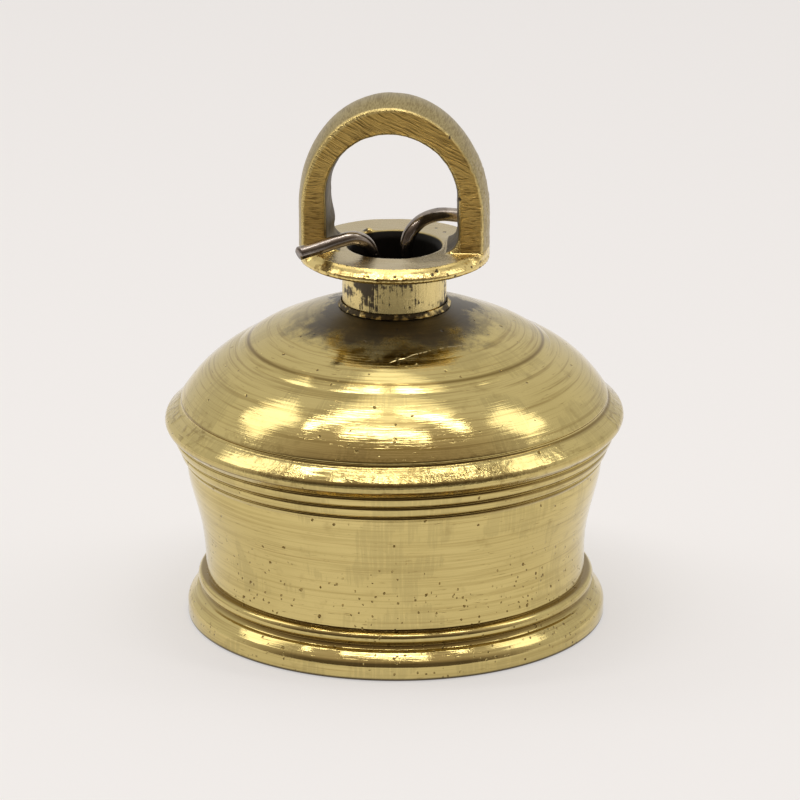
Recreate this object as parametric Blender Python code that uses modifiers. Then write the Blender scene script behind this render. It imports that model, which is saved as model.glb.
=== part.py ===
"""Brass puja bell: a turned shell, a cast hanging loop brazed into its dome, and a wire-hung clapper.

Metres, +Z up. The bell stands on its rim: the rim's flat face is at Z = 0 and the axis is X = Y = 0.
The hanging loop lies in the XZ plane. The hanger wire turns about the bell's axis, and the clapper
swings about the wire's bight inside the dome.
"""

import math

import bmesh
import bpy
from mathutils import Matrix, Vector

# Clearances
GAP = 0.0003                # between neighbouring pieces
CUT_MARGIN = 0.002          # how far a cutter runs past what it cuts

# Bell shell: overall sizes
BELL_R = 0.0500             # widest radius, on the shoulder bead
BELL_HEIGHT = 0.0702        # rim face to the dome's top edge at the neck
BELL_WALL = 0.0030          # wall thickness, waist and dome

# Bell shell: dome
DOME_RISE = 0.0207          # dome's foot to its top edge
DOME_CURVE_R = 0.0310       # radius of the lower dome's curve
CAP_CURVE_R = 0.0750        # radius of the flatter cap's curve
CAP_R = 0.0316              # cap's outer radius, where it steps down
CAP_DROP = 0.0075           # top edge down to the cap's outer edge
CAP_STEP = 0.0004           # height of the step under the cap's edge
CAP_EDGE = 0.0005           # rounding of the cap's edge

# Bell shell: shoulder bead and the three turned grooves under it
BEAD_R = 0.0031             # shoulder bead's section radius
BEAD_DROP = 0.0038          # dome's foot down to the bead's centre
BEAD_END = -48              # angle at which the bead's section turns into its flank, degrees
SEAM_DEPTH = 0.0005         # turned groove between dome and bead
BAND_DROP = 0.0103          # bead's centre down to the wall's top
BAND_STEP = 0.0006          # lowest band's foot, out from the wall's top
BAND_FLARE = 0.0034         # highest band's top, out from the lowest band's foot
GROOVE_COUNT = 3
GROOVE_PITCH = 0.0025
GROOVE_DEPTH = 0.0007
GROOVE_FLANK = 0.0009       # height of a groove's long upper flank

# Bell shell: wall and foot
SHOULDER_OVERHANG = 0.0047  # bead's widest radius less the wall's top radius
WAIST_DEPTH = 0.0038        # wall's top radius less the waist's radius
WALL_EASE = 1.5             # how low on the wall its curve starts outward
FOOT_FLARE = 0.0042         # foot's radius less the waist's radius
FOOT_FACE = 0.0047          # height of the foot's upright face
FOOT_BEAD_R = 0.0016        # rounding on top of the upright face
SMALL_BEAD_R = 0.0007       # thin bead between the foot and the wall
FOOT_HEIGHT = 0.0094        # rim face to the groove over the thin bead
RIM_EDGE = 0.0004           # rounding of the rim's outer edge
MOUTH_CHAMFER = 0.0005

# Crown casting: neck, disc and hanging loop
NECK_R = 0.0113
NECK_BORE_R = 0.0096
NECK_HEIGHT = 0.0105        # dome's top edge to the disc's underside
SPIGOT_DEPTH = 0.0050       # how far the neck reaches down through the dome
DISC_R = 0.0206
DISC_THICKNESS = 0.0030
DISC_LIP = 0.0009           # height of the thin lip round the disc's lower edge
DISC_GROOVE = 0.0004        # depth of the line above the lip
HOLE_FLARE = 0.0007         # how much the bore opens at the disc's top
LOOP_RISE = 0.0334          # disc's top to the loop's top
LOOP_SHOULDER = 0.0250      # height of the loop's rounded upper part
LOOP_DEPTH = 0.0130         # loop's thickness, front to back
LOOP_CROWN = 0.0070         # loop's thickness at its top
LOOP_LEG = 0.0062           # leg's thickness at its widest, in the loop's plane
LEG_FLARE = 0.0045          # height of the fillet at a leg's foot

# Braze fillet round the neck's foot
BRAZE_WIDTH = 0.0010
BRAZE_RISE = 0.0008

# Hanger wire
WIRE_R = 0.0015
HANGER_ANGLE = 36           # direction of the wire's plane from the loop's plane, degrees
STRAND_CLEARANCE = 0.0018   # wire's side to the bore's wall
WIRE_LIFT = 0.0019          # height of a strand's top bend over a wire lying on the disc
FRONT_OVERHANG = 0.0038     # front end past the disc's edge
BACK_OVERHANG = 0.0008      # back end past the disc's edge
BIGHT_R = 0.0048            # bend radius of the bight, on the wire's centre line
BIGHT_DROP = 0.0078         # neck's lower end down to the bight's lowest point

# Clapper
SHANK_R = 0.0015
EYE_R = 0.0050              # eye's radius, on the wire's centre line
EYE_CLEARANCE = 0.0005      # eye's inside to the bight
EYE_START = 208             # where the shank joins the eye, degrees
EYE_END = -52               # where the eye's free end stops, degrees
BOB_R = 0.0088
BOB_Z = 0.0165              # height of the bob's centre over the rim face
BOB_TAPER = 0.0105          # bob's centre up to the top of its shoulder
BOB_TOP_R = 0.0032
BOB_NECK = 0.0022           # height of the bob's collar
TAIL_R = 0.0031             # peened head under the bob
TAIL_HEIGHT = 0.0016

# Roundness
BELL_STEPS = 56
CROWN_STEPS = 48
BOB_STEPS = 32
MERGE_DISTANCE = 0.00001

# Heights that follow from the sizes above
DOME_FOOT_Z = BELL_HEIGHT - DOME_RISE
BEAD_Z = DOME_FOOT_Z - BEAD_DROP
WALL_TOP_Z = BEAD_Z - BAND_DROP
DISC_UNDER_Z = BELL_HEIGHT + NECK_HEIGHT
DISC_TOP_Z = DISC_UNDER_Z + DISC_THICKNESS
NECK_END_Z = BELL_HEIGHT - SPIGOT_DEPTH
LOOP_TOP_Z = DISC_TOP_Z + LOOP_RISE
BIGHT_Z = NECK_END_Z - BIGHT_DROP

# Radii that follow
WALL_TOP_R = BELL_R - SHOULDER_OVERHANG
WAIST_R = WALL_TOP_R - WAIST_DEPTH
FOOT_R = WAIST_R + FOOT_FLARE
DOME_FOOT_R = BELL_R - BEAD_R - GAP
HOLE_R = NECK_R + GAP


def clear_scene():
    """Remove every object of the scene that the script starts in."""
    for item in list(bpy.data.objects):
        bpy.data.objects.remove(item, do_unlink=True)


def new_collection(name):
    """Make a collection under the scene's own."""
    collection = bpy.data.collections.new(name)
    bpy.context.scene.collection.children.link(collection)
    return collection


def new_material(name, color, roughness, metallic=1.0):
    """Make a Principled material."""
    material = bpy.data.materials.new(name)
    material.use_nodes = True
    shader = material.node_tree.nodes["Principled BSDF"]
    shader.inputs["Base Color"].default_value = (*color, 1.0)
    shader.inputs["Roughness"].default_value = roughness
    shader.inputs["Metallic"].default_value = metallic
    return material


def arc(center, radius, start, end, steps):
    """Points (r, z) on a circle from one angle to another, in degrees."""
    points = []
    for step in range(steps + 1):
        angle = math.radians(start + (end - start) * step / steps)
        points.append((center[0] + radius * math.cos(angle), center[1] + radius * math.sin(angle)))
    return points


def arc_between(first, last, radius, steps):
    """Points (r, z) on a circle through two points, bulging up and out; radius limited by the chord."""
    half = math.dist(first, last) / 2
    radius = max(radius, half)
    middle = ((first[0] + last[0]) / 2, (first[1] + last[1]) / 2)
    along = ((last[0] - first[0]) / (2 * half), (last[1] - first[1]) / (2 * half))
    depth = math.sqrt(radius ** 2 - half ** 2)
    center = (middle[0] + along[1] * depth, middle[1] - along[0] * depth)
    start = math.degrees(math.atan2(first[1] - center[1], first[0] - center[0]))
    end = math.degrees(math.atan2(last[1] - center[1], last[0] - center[0]))
    return arc(center, radius, start, end, steps)


def smooth_path(points, steps):
    """Points on a smooth curve through the given ones, with `steps` points to each span."""
    knots = [points[0]] + points + [points[-1]]
    path = []
    for first, second, third, fourth in zip(knots, knots[1:], knots[2:], knots[3:]):
        for step in range(steps):
            t = step / steps
            path.append(0.5 * (2 * second + (third - first) * t
                               + (2 * first - 5 * second + 4 * third - fourth) * t ** 2
                               + (3 * second - first - 3 * third + fourth) * t ** 3))
    path.append(points[-1])
    return path


def dome_height(radius):
    """Height of the cap's outer surface at a radius."""
    cap = cap_outline()
    for (inner_r, inner_z), (outer_r, outer_z) in zip(cap, cap[1:]):
        if radius <= outer_r:
            return inner_z + (outer_z - inner_z) * (radius - inner_r) / (outer_r - inner_r)
    return cap[-1][1]


def cap_outline():
    """The dome's flatter cap, from the neck hole out to its edge."""
    edge = (CAP_R - CAP_EDGE, BELL_HEIGHT - CAP_DROP)
    return arc_between((HOLE_R, BELL_HEIGHT), edge, CAP_CURVE_R, 4)


def dome_outline():
    """The step under the cap and the lower dome, down to the seam above the bead."""
    step_top = BELL_HEIGHT - CAP_DROP - CAP_EDGE
    step_foot = (CAP_R, step_top - CAP_STEP)
    dome = arc_between(step_foot, (DOME_FOOT_R, DOME_FOOT_Z), DOME_CURVE_R, 6)
    return [(CAP_R - GAP / 2, step_top)] + dome


def shoulder_outline():
    """The seam, the rounded shoulder bead, and the banded flank under it."""
    bead_center = (BELL_R - BEAD_R, BEAD_Z)
    seam = (DOME_FOOT_R - SEAM_DEPTH / 2, DOME_FOOT_Z - SEAM_DEPTH)
    points = [seam] + arc(bead_center, BEAD_R, 86, BEAD_END, 6)
    for index in reversed(range(GROOVE_COUNT)):
        ridge = WALL_TOP_R + BAND_STEP + BAND_FLARE * (index + 0.3) / GROOVE_COUNT
        height = WALL_TOP_Z + (index + 0.4) * GROOVE_PITCH
        points.append((ridge + GROOVE_DEPTH / 2, height + GROOVE_FLANK))
        points.append((ridge - GROOVE_DEPTH, height))
        points.append((ridge - BAND_STEP / 2, height - GROOVE_FLANK / 4))
    return points


def wall_outline(outset, top, bottom, steps):
    """The wall's curve from its top down to the waist, moved out by `outset`."""
    points = []
    for step in range(steps + 1):
        t = (1 - step / steps) ** WALL_EASE
        rise = t * t * (3 - 2 * t)
        points.append((WAIST_R + outset + WAIST_DEPTH * rise, top + (bottom - top) * step / steps))
    return points


def foot_outline():
    """The groove under the wall, the thin bead, the cove and the foot ring, down to the rim face."""
    small_center = (WAIST_R + SMALL_BEAD_R, FOOT_HEIGHT - SMALL_BEAD_R)
    ring_center = (FOOT_R - FOOT_BEAD_R, FOOT_FACE)
    points = [(WAIST_R - SMALL_BEAD_R / 2, FOOT_HEIGHT)]
    points += arc(small_center, SMALL_BEAD_R, 70, -50, 3)
    points.append((ring_center[0] - SMALL_BEAD_R / 3, FOOT_FACE + FOOT_BEAD_R))
    points += arc(ring_center, FOOT_BEAD_R, 78, 0, 3)
    points += arc((FOOT_R - RIM_EDGE, RIM_EDGE), RIM_EDGE, 0, -90, 2)
    return points


def inner_outline():
    """The shell's inside, from the mouth up to the neck hole."""
    inner_r = WAIST_R - BELL_WALL
    points = [(inner_r + MOUTH_CHAMFER, 0.0), (inner_r, MOUTH_CHAMFER)]
    points += list(reversed(wall_outline(-BELL_WALL, WALL_TOP_Z, FOOT_HEIGHT, 5)))
    points.append((DOME_FOOT_R - BELL_WALL, BEAD_Z))
    under_foot = (DOME_FOOT_R - BELL_WALL, DOME_FOOT_Z - BELL_WALL / 2)
    under_top = (HOLE_R, BELL_HEIGHT - BELL_WALL)
    points += list(reversed(arc_between(under_top, under_foot, DOME_CURVE_R, 6)))
    return points


def turned_object(name, outline, steps, material, closed):
    """A solid turned from an outline of (r, z) points that runs down its outer side."""
    mesh = bpy.data.meshes.new(name)
    count = len(outline)
    edges = [(index, index + 1) for index in range(count - 1)]
    if closed:
        edges.append((count - 1, 0))
    mesh.from_pydata([(r, 0.0, z) for r, z in outline], edges, [])
    item = bpy.data.objects.new(name, mesh)
    item.data.materials.append(material)
    screw = item.modifiers.new("Turned", "SCREW")
    screw.steps = steps
    screw.render_steps = steps
    screw.use_merge_vertices = True
    screw.merge_threshold = MERGE_DISTANCE
    screw.use_smooth_shade = True
    return item


def wire_object(name, path, radius, material):
    """A round wire along a path, with filled ends."""
    curve = bpy.data.curves.new(name, "CURVE")
    curve.dimensions = "3D"
    curve.bevel_depth = radius
    curve.bevel_resolution = 2
    curve.use_fill_caps = True
    spline = curve.splines.new("POLY")
    spline.points.add(len(path) - 1)
    for point, place in zip(spline.points, path):
        point.co = (*place, 1.0)
    curve.materials.append(material)
    return bpy.data.objects.new(name, curve)


def mesh_object(name, bm, material=None):
    """Turn a bmesh into an object."""
    mesh = bpy.data.meshes.new(name)
    bm.to_mesh(mesh)
    bm.free()
    if material:
        mesh.materials.append(material)
    return bpy.data.objects.new(name, mesh)


def empty_at(name, location, turn_z, collection, parent=None):
    """An empty that stands on a joint's axis."""
    empty = bpy.data.objects.new(name, None)
    empty.empty_display_size = 0.005
    empty.location = location
    empty.rotation_euler = (0.0, 0.0, turn_z)
    empty.parent = parent
    collection.objects.link(empty)
    return empty


def cut(item, cutter, collection):
    """Cut one object out of another and put the cutter with the other cutters."""
    cutter.hide_render = True
    cutter.display_type = "WIRE"
    collection.objects.link(cutter)
    boolean = item.modifiers.new(cutter.name, "BOOLEAN")
    boolean.operation = "DIFFERENCE"
    boolean.solver = "EXACT"
    boolean.object = cutter


def make_bell_shell(collection, material):
    """The turned shell: dome, shoulder bead, banded flank, waisted wall and foot ring."""
    outline = cap_outline() + dome_outline() + shoulder_outline()
    outline += wall_outline(0.0, WALL_TOP_Z, FOOT_HEIGHT + SMALL_BEAD_R, 7)
    outline += foot_outline() + inner_outline()
    shell = turned_object("bell_shell", outline, BELL_STEPS, material, closed=True)
    collection.objects.link(shell)
    return shell


def crown_blank_outline():
    """Neck, disc and the loop's turned outside as one solid, from the top down the outer side."""
    side_top = LOOP_TOP_Z - LOOP_SHOULDER
    points = [(r * DISC_R, side_top + z * LOOP_SHOULDER) for r, z in arc((0.0, 0.0), 1.0, 90, 0, 10)]
    lip_z = DISC_UNDER_Z + DISC_LIP
    points.append((DISC_R, lip_z + 2 * DISC_GROOVE))
    points.append((DISC_R - DISC_GROOVE, lip_z + DISC_GROOVE / 2))
    points.append((DISC_R - DISC_GROOVE / 2, lip_z))
    points.append((DISC_R - DISC_GROOVE / 2, DISC_UNDER_Z + DISC_LIP / 3))
    points.append((DISC_R - DISC_LIP / 2, DISC_UNDER_Z))
    points.append((NECK_R, DISC_UNDER_Z))
    points.append((NECK_R, NECK_END_Z))
    points.append((0.0, NECK_END_Z))
    return points


def bore_cutter(material):
    """The neck's bore, opening a little at the disc's top."""
    outline = [
        (0.0, DISC_TOP_Z + CUT_MARGIN),
        (NECK_BORE_R + HOLE_FLARE, DISC_TOP_Z + CUT_MARGIN),
        (NECK_BORE_R + HOLE_FLARE, DISC_TOP_Z - HOLE_FLARE / 2),
        (NECK_BORE_R, DISC_TOP_Z - 2 * HOLE_FLARE),
        (NECK_BORE_R, NECK_END_Z - CUT_MARGIN),
        (0.0, NECK_END_Z - CUT_MARGIN),
    ]
    return turned_object("bore_cutter", outline, CROWN_STEPS, material, closed=False)


def side_cutters():
    """Two blocks that trim the turned blank to the loop's flat front and back."""
    bm = bmesh.new()
    height = LOOP_RISE + CUT_MARGIN
    depth = DISC_R + CUT_MARGIN - LOOP_DEPTH / 2
    for side in (-1, 1):
        center = Vector((0.0, side * (LOOP_DEPTH + depth) / 2, DISC_TOP_Z + height / 2))
        size = Matrix.Diagonal((2 * (DISC_R + CUT_MARGIN), depth, height, 1.0))
        bmesh.ops.create_cube(bm, size=1.0, matrix=Matrix.Translation(center) @ size)
    return mesh_object("side_cutters", bm)


def opening_outline():
    """The loop's opening: fillets at the legs' feet, nearly upright sides and a round top."""
    half = DISC_R - LOOP_LEG
    foot = NECK_BORE_R + HOLE_FLARE + GAP
    arch_z = LOOP_TOP_Z - LOOP_CROWN - half
    flare = max(half - foot, GAP)
    fillet = [(foot + flare * math.sin(math.radians(angle)),
               DISC_TOP_Z + LEG_FLARE * (1 - math.cos(math.radians(angle))))
              for angle in (0, 25, 50, 75, 90)]
    right = fillet + arc((0.0, arch_z), half, 0, 90, 9)
    left = [(-x, z) for x, z in reversed(right[:-1])]
    return right + left


def opening_cutter():
    """A prism of the opening's outline, a little deeper than the loop."""
    bm = bmesh.new()
    front = -LOOP_DEPTH / 2 - CUT_MARGIN
    corners = [bm.verts.new((x, front, z)) for x, z in opening_outline()]
    face = bm.faces.new(corners)
    grown = bmesh.ops.extrude_face_region(bm, geom=[face])
    moved = [part for part in grown["geom"] if isinstance(part, bmesh.types.BMVert)]
    bmesh.ops.translate(bm, verts=moved, vec=(0.0, LOOP_DEPTH + 2 * CUT_MARGIN, 0.0))
    bmesh.ops.recalc_face_normals(bm, faces=bm.faces)
    return mesh_object("opening_cutter", bm)


def make_crown(collection, cutters, material):
    """Neck, disc and hanging loop: one casting, turned outside, ground flat front and back."""
    crown = turned_object("crown_casting", crown_blank_outline(), CROWN_STEPS, material, closed=False)
    collection.objects.link(crown)
    cut(crown, side_cutters(), cutters)
    cut(crown, opening_cutter(), cutters)
    cut(crown, bore_cutter(material), cutters)
    return crown


def make_braze(collection, material):
    """The fillet of braze between the neck's foot and the dome."""
    inner = NECK_R + GAP
    outer = inner + BRAZE_WIDTH
    outer_z = dome_height(outer) + GAP
    outline = [
        (inner, BELL_HEIGHT + GAP + BRAZE_RISE),
        (inner + BRAZE_WIDTH * 0.35, BELL_HEIGHT + GAP + BRAZE_RISE * 0.8),
        (inner + BRAZE_WIDTH * 0.8, outer_z + BRAZE_RISE * 0.45),
        (outer, outer_z + GAP),
        (outer, outer_z),
        (inner, BELL_HEIGHT + GAP),
    ]
    braze = turned_object("crown_braze", outline, CROWN_STEPS, material, closed=True)
    collection.objects.link(braze)
    return braze


def hanger_route():
    """Points of the hanger wire from its front end, down to the bight, and up to its back end.

    They are measured from the hanger's empty, with +X along the wire's plane towards the back end.
    """
    lying = WIRE_R + GAP
    strand = NECK_BORE_R - WIRE_R - STRAND_CLEARANCE
    bend = NECK_BORE_R + WIRE_R
    bight = BIGHT_Z - DISC_TOP_Z
    neck_end = NECK_END_Z - DISC_TOP_Z
    front = [
        (-DISC_R - FRONT_OVERHANG, 0.0, lying),
        (-DISC_R + FRONT_OVERHANG * 0.2, -0.0006, lying + WIRE_LIFT * 0.35),
        (-bend - 0.0040, -0.0014, lying + WIRE_LIFT * 0.85),
        (-bend, -0.0020, lying + WIRE_LIFT),
        (-strand - 0.0014, -0.0020, lying - 0.0006),
        (-strand + 0.0002, -0.0018, -0.0045),
        (-BIGHT_R, -0.0006, neck_end),
    ]
    bottom = [Vector((r, 0.0, z)) for r, z in arc((0.0, bight + BIGHT_R), BIGHT_R, 180, 360, 8)]
    back = [
        (BIGHT_R * 0.9, -0.0002, neck_end),
        (0.0026, -0.0006, -0.0050),
        (0.0030, -0.0008, 0.0010),
        (0.0060, -0.0006, lying + WIRE_LIFT * 1.2),
        (0.0108, 0.0000, lying + WIRE_LIFT * 1.6),
        (0.0160, 0.0002, lying + WIRE_LIFT * 1.1),
        (DISC_R + BACK_OVERHANG, 0.0, lying + WIRE_LIFT * 0.2),
    ]
    return ([Vector(point) for point in front], bottom, [Vector(point) for point in back])


def make_hanger(collection, pivot, material):
    """The hanger: one bent wire, both ends splayed over the disc, its bight inside the dome."""
    front, bottom, back = hanger_route()
    path = smooth_path(front + bottom[:1], 4)[:-1] + bottom[:-1] + smooth_path(bottom[-1:] + back, 4)
    hanger = wire_object("hanger_wire", path, WIRE_R, material)
    hanger.parent = pivot
    collection.objects.link(hanger)
    return hanger


def eye_center():
    """Height of the eye's centre over the bight's centre line."""
    return WIRE_R + EYE_CLEARANCE + SHANK_R - EYE_R


def make_shank(collection, pivot, material):
    """The clapper's shank: an eye bent round the bight, a straight rod and a peened tail."""
    center = eye_center()
    ring = [Vector((0.0, y, center + z)) for y, z in arc((0.0, 0.0), EYE_R, EYE_START, EYE_END, 14)]
    below = center - EYE_R
    tail = BOB_Z - BOB_R - GAP - TAIL_HEIGHT / 2 - BIGHT_Z
    start = ring[0]
    neck = [
        Vector((0.0, 0.0, tail)),
        Vector((0.0, 0.0, (tail + below) / 2)),
        Vector((0.0, 0.0, below - 0.0050)),
        Vector((0.0, start.y * 0.18, below - 0.0022)),
        Vector((0.0, start.y * 0.72, below + 0.0006)),
    ]
    path = smooth_path(neck + ring[:1], 3)[:-1] + ring
    rod = wire_object("shank_rod", path, SHANK_R, material)
    collection.objects.link(rod)
    graph = bpy.context.evaluated_depsgraph_get()
    mesh = bpy.data.meshes.new_from_object(rod.evaluated_get(graph))
    bpy.data.objects.remove(rod, do_unlink=True)
    bm = bmesh.new()
    bm.from_mesh(mesh)
    bmesh.ops.remove_doubles(bm, verts=bm.verts, dist=MERGE_DISTANCE)
    bm.to_mesh(mesh)
    bm.free()
    shank = bpy.data.objects.new("clapper_shank", mesh)
    collection.objects.link(shank)
    shank.parent = pivot
    return shank


def tail_head(pivot, material):
    """The peened head that keeps the bob on the shank."""
    top = BOB_Z - BOB_R - GAP - BIGHT_Z
    outline = [
        (0.0, top),
        (TAIL_R * 0.85, top),
        (TAIL_R, top - TAIL_HEIGHT * 0.4),
        (TAIL_R * 0.7, top - TAIL_HEIGHT * 0.85),
        (0.0, top - TAIL_HEIGHT),
    ]
    head = turned_object("tail_head", outline, BOB_STEPS // 2, material, closed=False)
    head.parent = pivot
    return head


def join_tail(shank, head, collection):
    """Make the peened head one body with the shank."""
    head.hide_render = True
    head.display_type = "WIRE"
    collection.objects.link(head)
    union = shank.modifiers.new("Peened tail", "BOOLEAN")
    union.operation = "UNION"
    union.solver = "EXACT"
    union.object = head


def make_bob(collection, pivot, material):
    """The striker: a turned pear with a bore for the shank."""
    middle = BOB_Z - BIGHT_Z
    bore = SHANK_R + GAP
    flat = math.degrees(math.asin(bore / BOB_R))
    top = [(bore, middle + BOB_TAPER), (BOB_TOP_R, middle + BOB_TAPER)]
    body = arc((0.0, middle), BOB_R, 52, -90 + flat, 10)
    neck = (BOB_TOP_R * 1.25, middle + BOB_TAPER - BOB_NECK)
    bob = turned_object("clapper_bob", top + [neck] + body, BOB_STEPS, material, closed=True)
    bob.parent = pivot
    collection.objects.link(bob)
    return bob


def main():
    """Build the bell."""
    clear_scene()
    parts = new_collection("puja_bell")
    cutters = new_collection("cutters")
    turned_brass = new_material("turned_brass", (0.62, 0.48, 0.17), 0.30)
    cast_brass = new_material("cast_brass", (0.56, 0.42, 0.14), 0.38)
    braze_metal = new_material("braze_metal", (0.70, 0.54, 0.20), 0.35)
    iron_wire = new_material("iron_wire", (0.10, 0.095, 0.10), 0.45)
    iron_rod = new_material("iron_rod", (0.12, 0.11, 0.11), 0.50)
    bob_brass = new_material("bob_brass", (0.52, 0.40, 0.15), 0.45)

    make_bell_shell(parts, turned_brass)
    make_crown(parts, cutters, cast_brass)
    make_braze(parts, braze_metal)

    turn = math.radians(HANGER_ANGLE)
    hanger_pivot = empty_at("hanger_pivot", (0.0, 0.0, DISC_TOP_Z), turn, parts)
    clapper_pivot = empty_at("clapper_pivot", (0.0, 0.0, BIGHT_Z - DISC_TOP_Z), 0.0, parts, hanger_pivot)
    make_hanger(parts, hanger_pivot, iron_wire)
    shank = make_shank(parts, clapper_pivot, iron_rod)
    join_tail(shank, tail_head(clapper_pivot, iron_rod), cutters)
    make_bob(parts, clapper_pivot, bob_brass)


main()
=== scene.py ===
"""Brass puja bell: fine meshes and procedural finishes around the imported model.

Metres, +Z up, the rim's flat face at Z = 0 and the bell's axis at X = Y = 0. The hanging loop lies in
the XZ plane with its ground front towards -Y.
"""

import logging
import math
from dataclasses import dataclass, field
from enum import Enum
from typing import Callable, Iterable

import bmesh
import bpy
import numpy as np
from mathutils import Matrix, Vector, noise


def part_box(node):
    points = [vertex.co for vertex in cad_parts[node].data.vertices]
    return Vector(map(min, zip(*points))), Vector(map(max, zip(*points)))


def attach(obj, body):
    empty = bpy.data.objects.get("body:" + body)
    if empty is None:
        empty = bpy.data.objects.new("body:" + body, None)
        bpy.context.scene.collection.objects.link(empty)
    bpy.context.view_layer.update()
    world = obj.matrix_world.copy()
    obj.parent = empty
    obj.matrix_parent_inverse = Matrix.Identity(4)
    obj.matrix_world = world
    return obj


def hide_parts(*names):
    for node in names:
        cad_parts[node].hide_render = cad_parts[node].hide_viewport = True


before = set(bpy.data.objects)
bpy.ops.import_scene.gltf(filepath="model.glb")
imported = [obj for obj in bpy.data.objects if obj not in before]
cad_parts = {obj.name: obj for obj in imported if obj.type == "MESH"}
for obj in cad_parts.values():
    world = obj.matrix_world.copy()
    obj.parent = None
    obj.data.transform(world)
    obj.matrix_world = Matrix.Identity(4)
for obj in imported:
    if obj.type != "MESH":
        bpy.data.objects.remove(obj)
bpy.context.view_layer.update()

LOG = logging.getLogger("puja_bell")
TINY = 1e-6

Span = tuple[float, float]
Outline = list[Span]
Colour = tuple[float, float, float]
Move = Callable[[np.ndarray, np.ndarray], np.ndarray]


class Body(Enum):
    """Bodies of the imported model."""

    BELL = "bell"
    HANGER = "hanger"
    CLAPPER = "clapper"


class Slot(Enum):
    """Material slots of the record."""

    TURNED_BRASS = "turned_brass"
    CAST_BRASS = "cast_brass"
    BRAZE = "braze_metal"
    IRON_WIRE = "iron_wire"
    IRON_ROD = "iron_rod"
    BOB_BRASS = "bob_brass"


# ---------------------------------------------------------------- shader maths


class Signal:
    """One output socket of a shader node, on which Python's operators work."""

    def __init__(self, graph: "Graph", socket: bpy.types.NodeSocket) -> None:
        """Wrap a socket of a graph."""
        self.graph = graph
        self.socket = socket

    def math(self, operation: str, *others: "Signal | float") -> "Signal":
        """Add a Math node that starts from this value.

        Args:
            operation: the Math node's operation.
            others: its second and third inputs.

        Returns:
            The node's value.
        """
        inputs = dict(enumerate((self, *others)))
        return self.graph.node("ShaderNodeMath", {"operation": operation}, inputs)

    def __add__(self, other: "Signal | float") -> "Signal":
        """Sum."""
        return self.math("ADD", other)

    def __sub__(self, other: "Signal | float") -> "Signal":
        """Difference."""
        return self.math("SUBTRACT", other)

    def __rsub__(self, other: float) -> "Signal":
        """Difference from a number."""
        return self.graph.node("ShaderNodeMath", {"operation": "SUBTRACT"}, {0: other, 1: self})

    def __mul__(self, other: "Signal | float") -> "Signal":
        """Product."""
        return self.math("MULTIPLY", other)

    def __truediv__(self, other: "Signal | float") -> "Signal":
        """Quotient."""
        return self.math("DIVIDE", other)

    __radd__ = __add__
    __rmul__ = __mul__

    def largest(self, other: "Signal | float") -> "Signal":
        """The larger of two values."""
        return self.math("MAXIMUM", other)

    def size(self) -> "Signal":
        """The value without its sign."""
        return self.math("ABSOLUTE")

    def step(self, low: float, high: float) -> "Signal":
        """Rise smoothly from 0 to 1, or fall where low is above high.

        Args:
            low: value at which the result is 0.
            high: value at which the result is 1.

        Returns:
            The eased mask.
        """
        settings = {"interpolation_type": "SMOOTHSTEP", "clamp": True}
        below, above = (0.0, 1.0) if low < high else (1.0, 0.0)
        inputs = {0: self, 1: min(low, high), 2: max(low, high), 3: below, 4: above}
        return self.graph.node("ShaderNodeMapRange", settings, inputs)

    def near(self, value: float, width: float) -> "Signal":
        """A soft mask that is 1 at a value and 0 from a width away."""
        return (self - value).size().step(width, 0.0)


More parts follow.
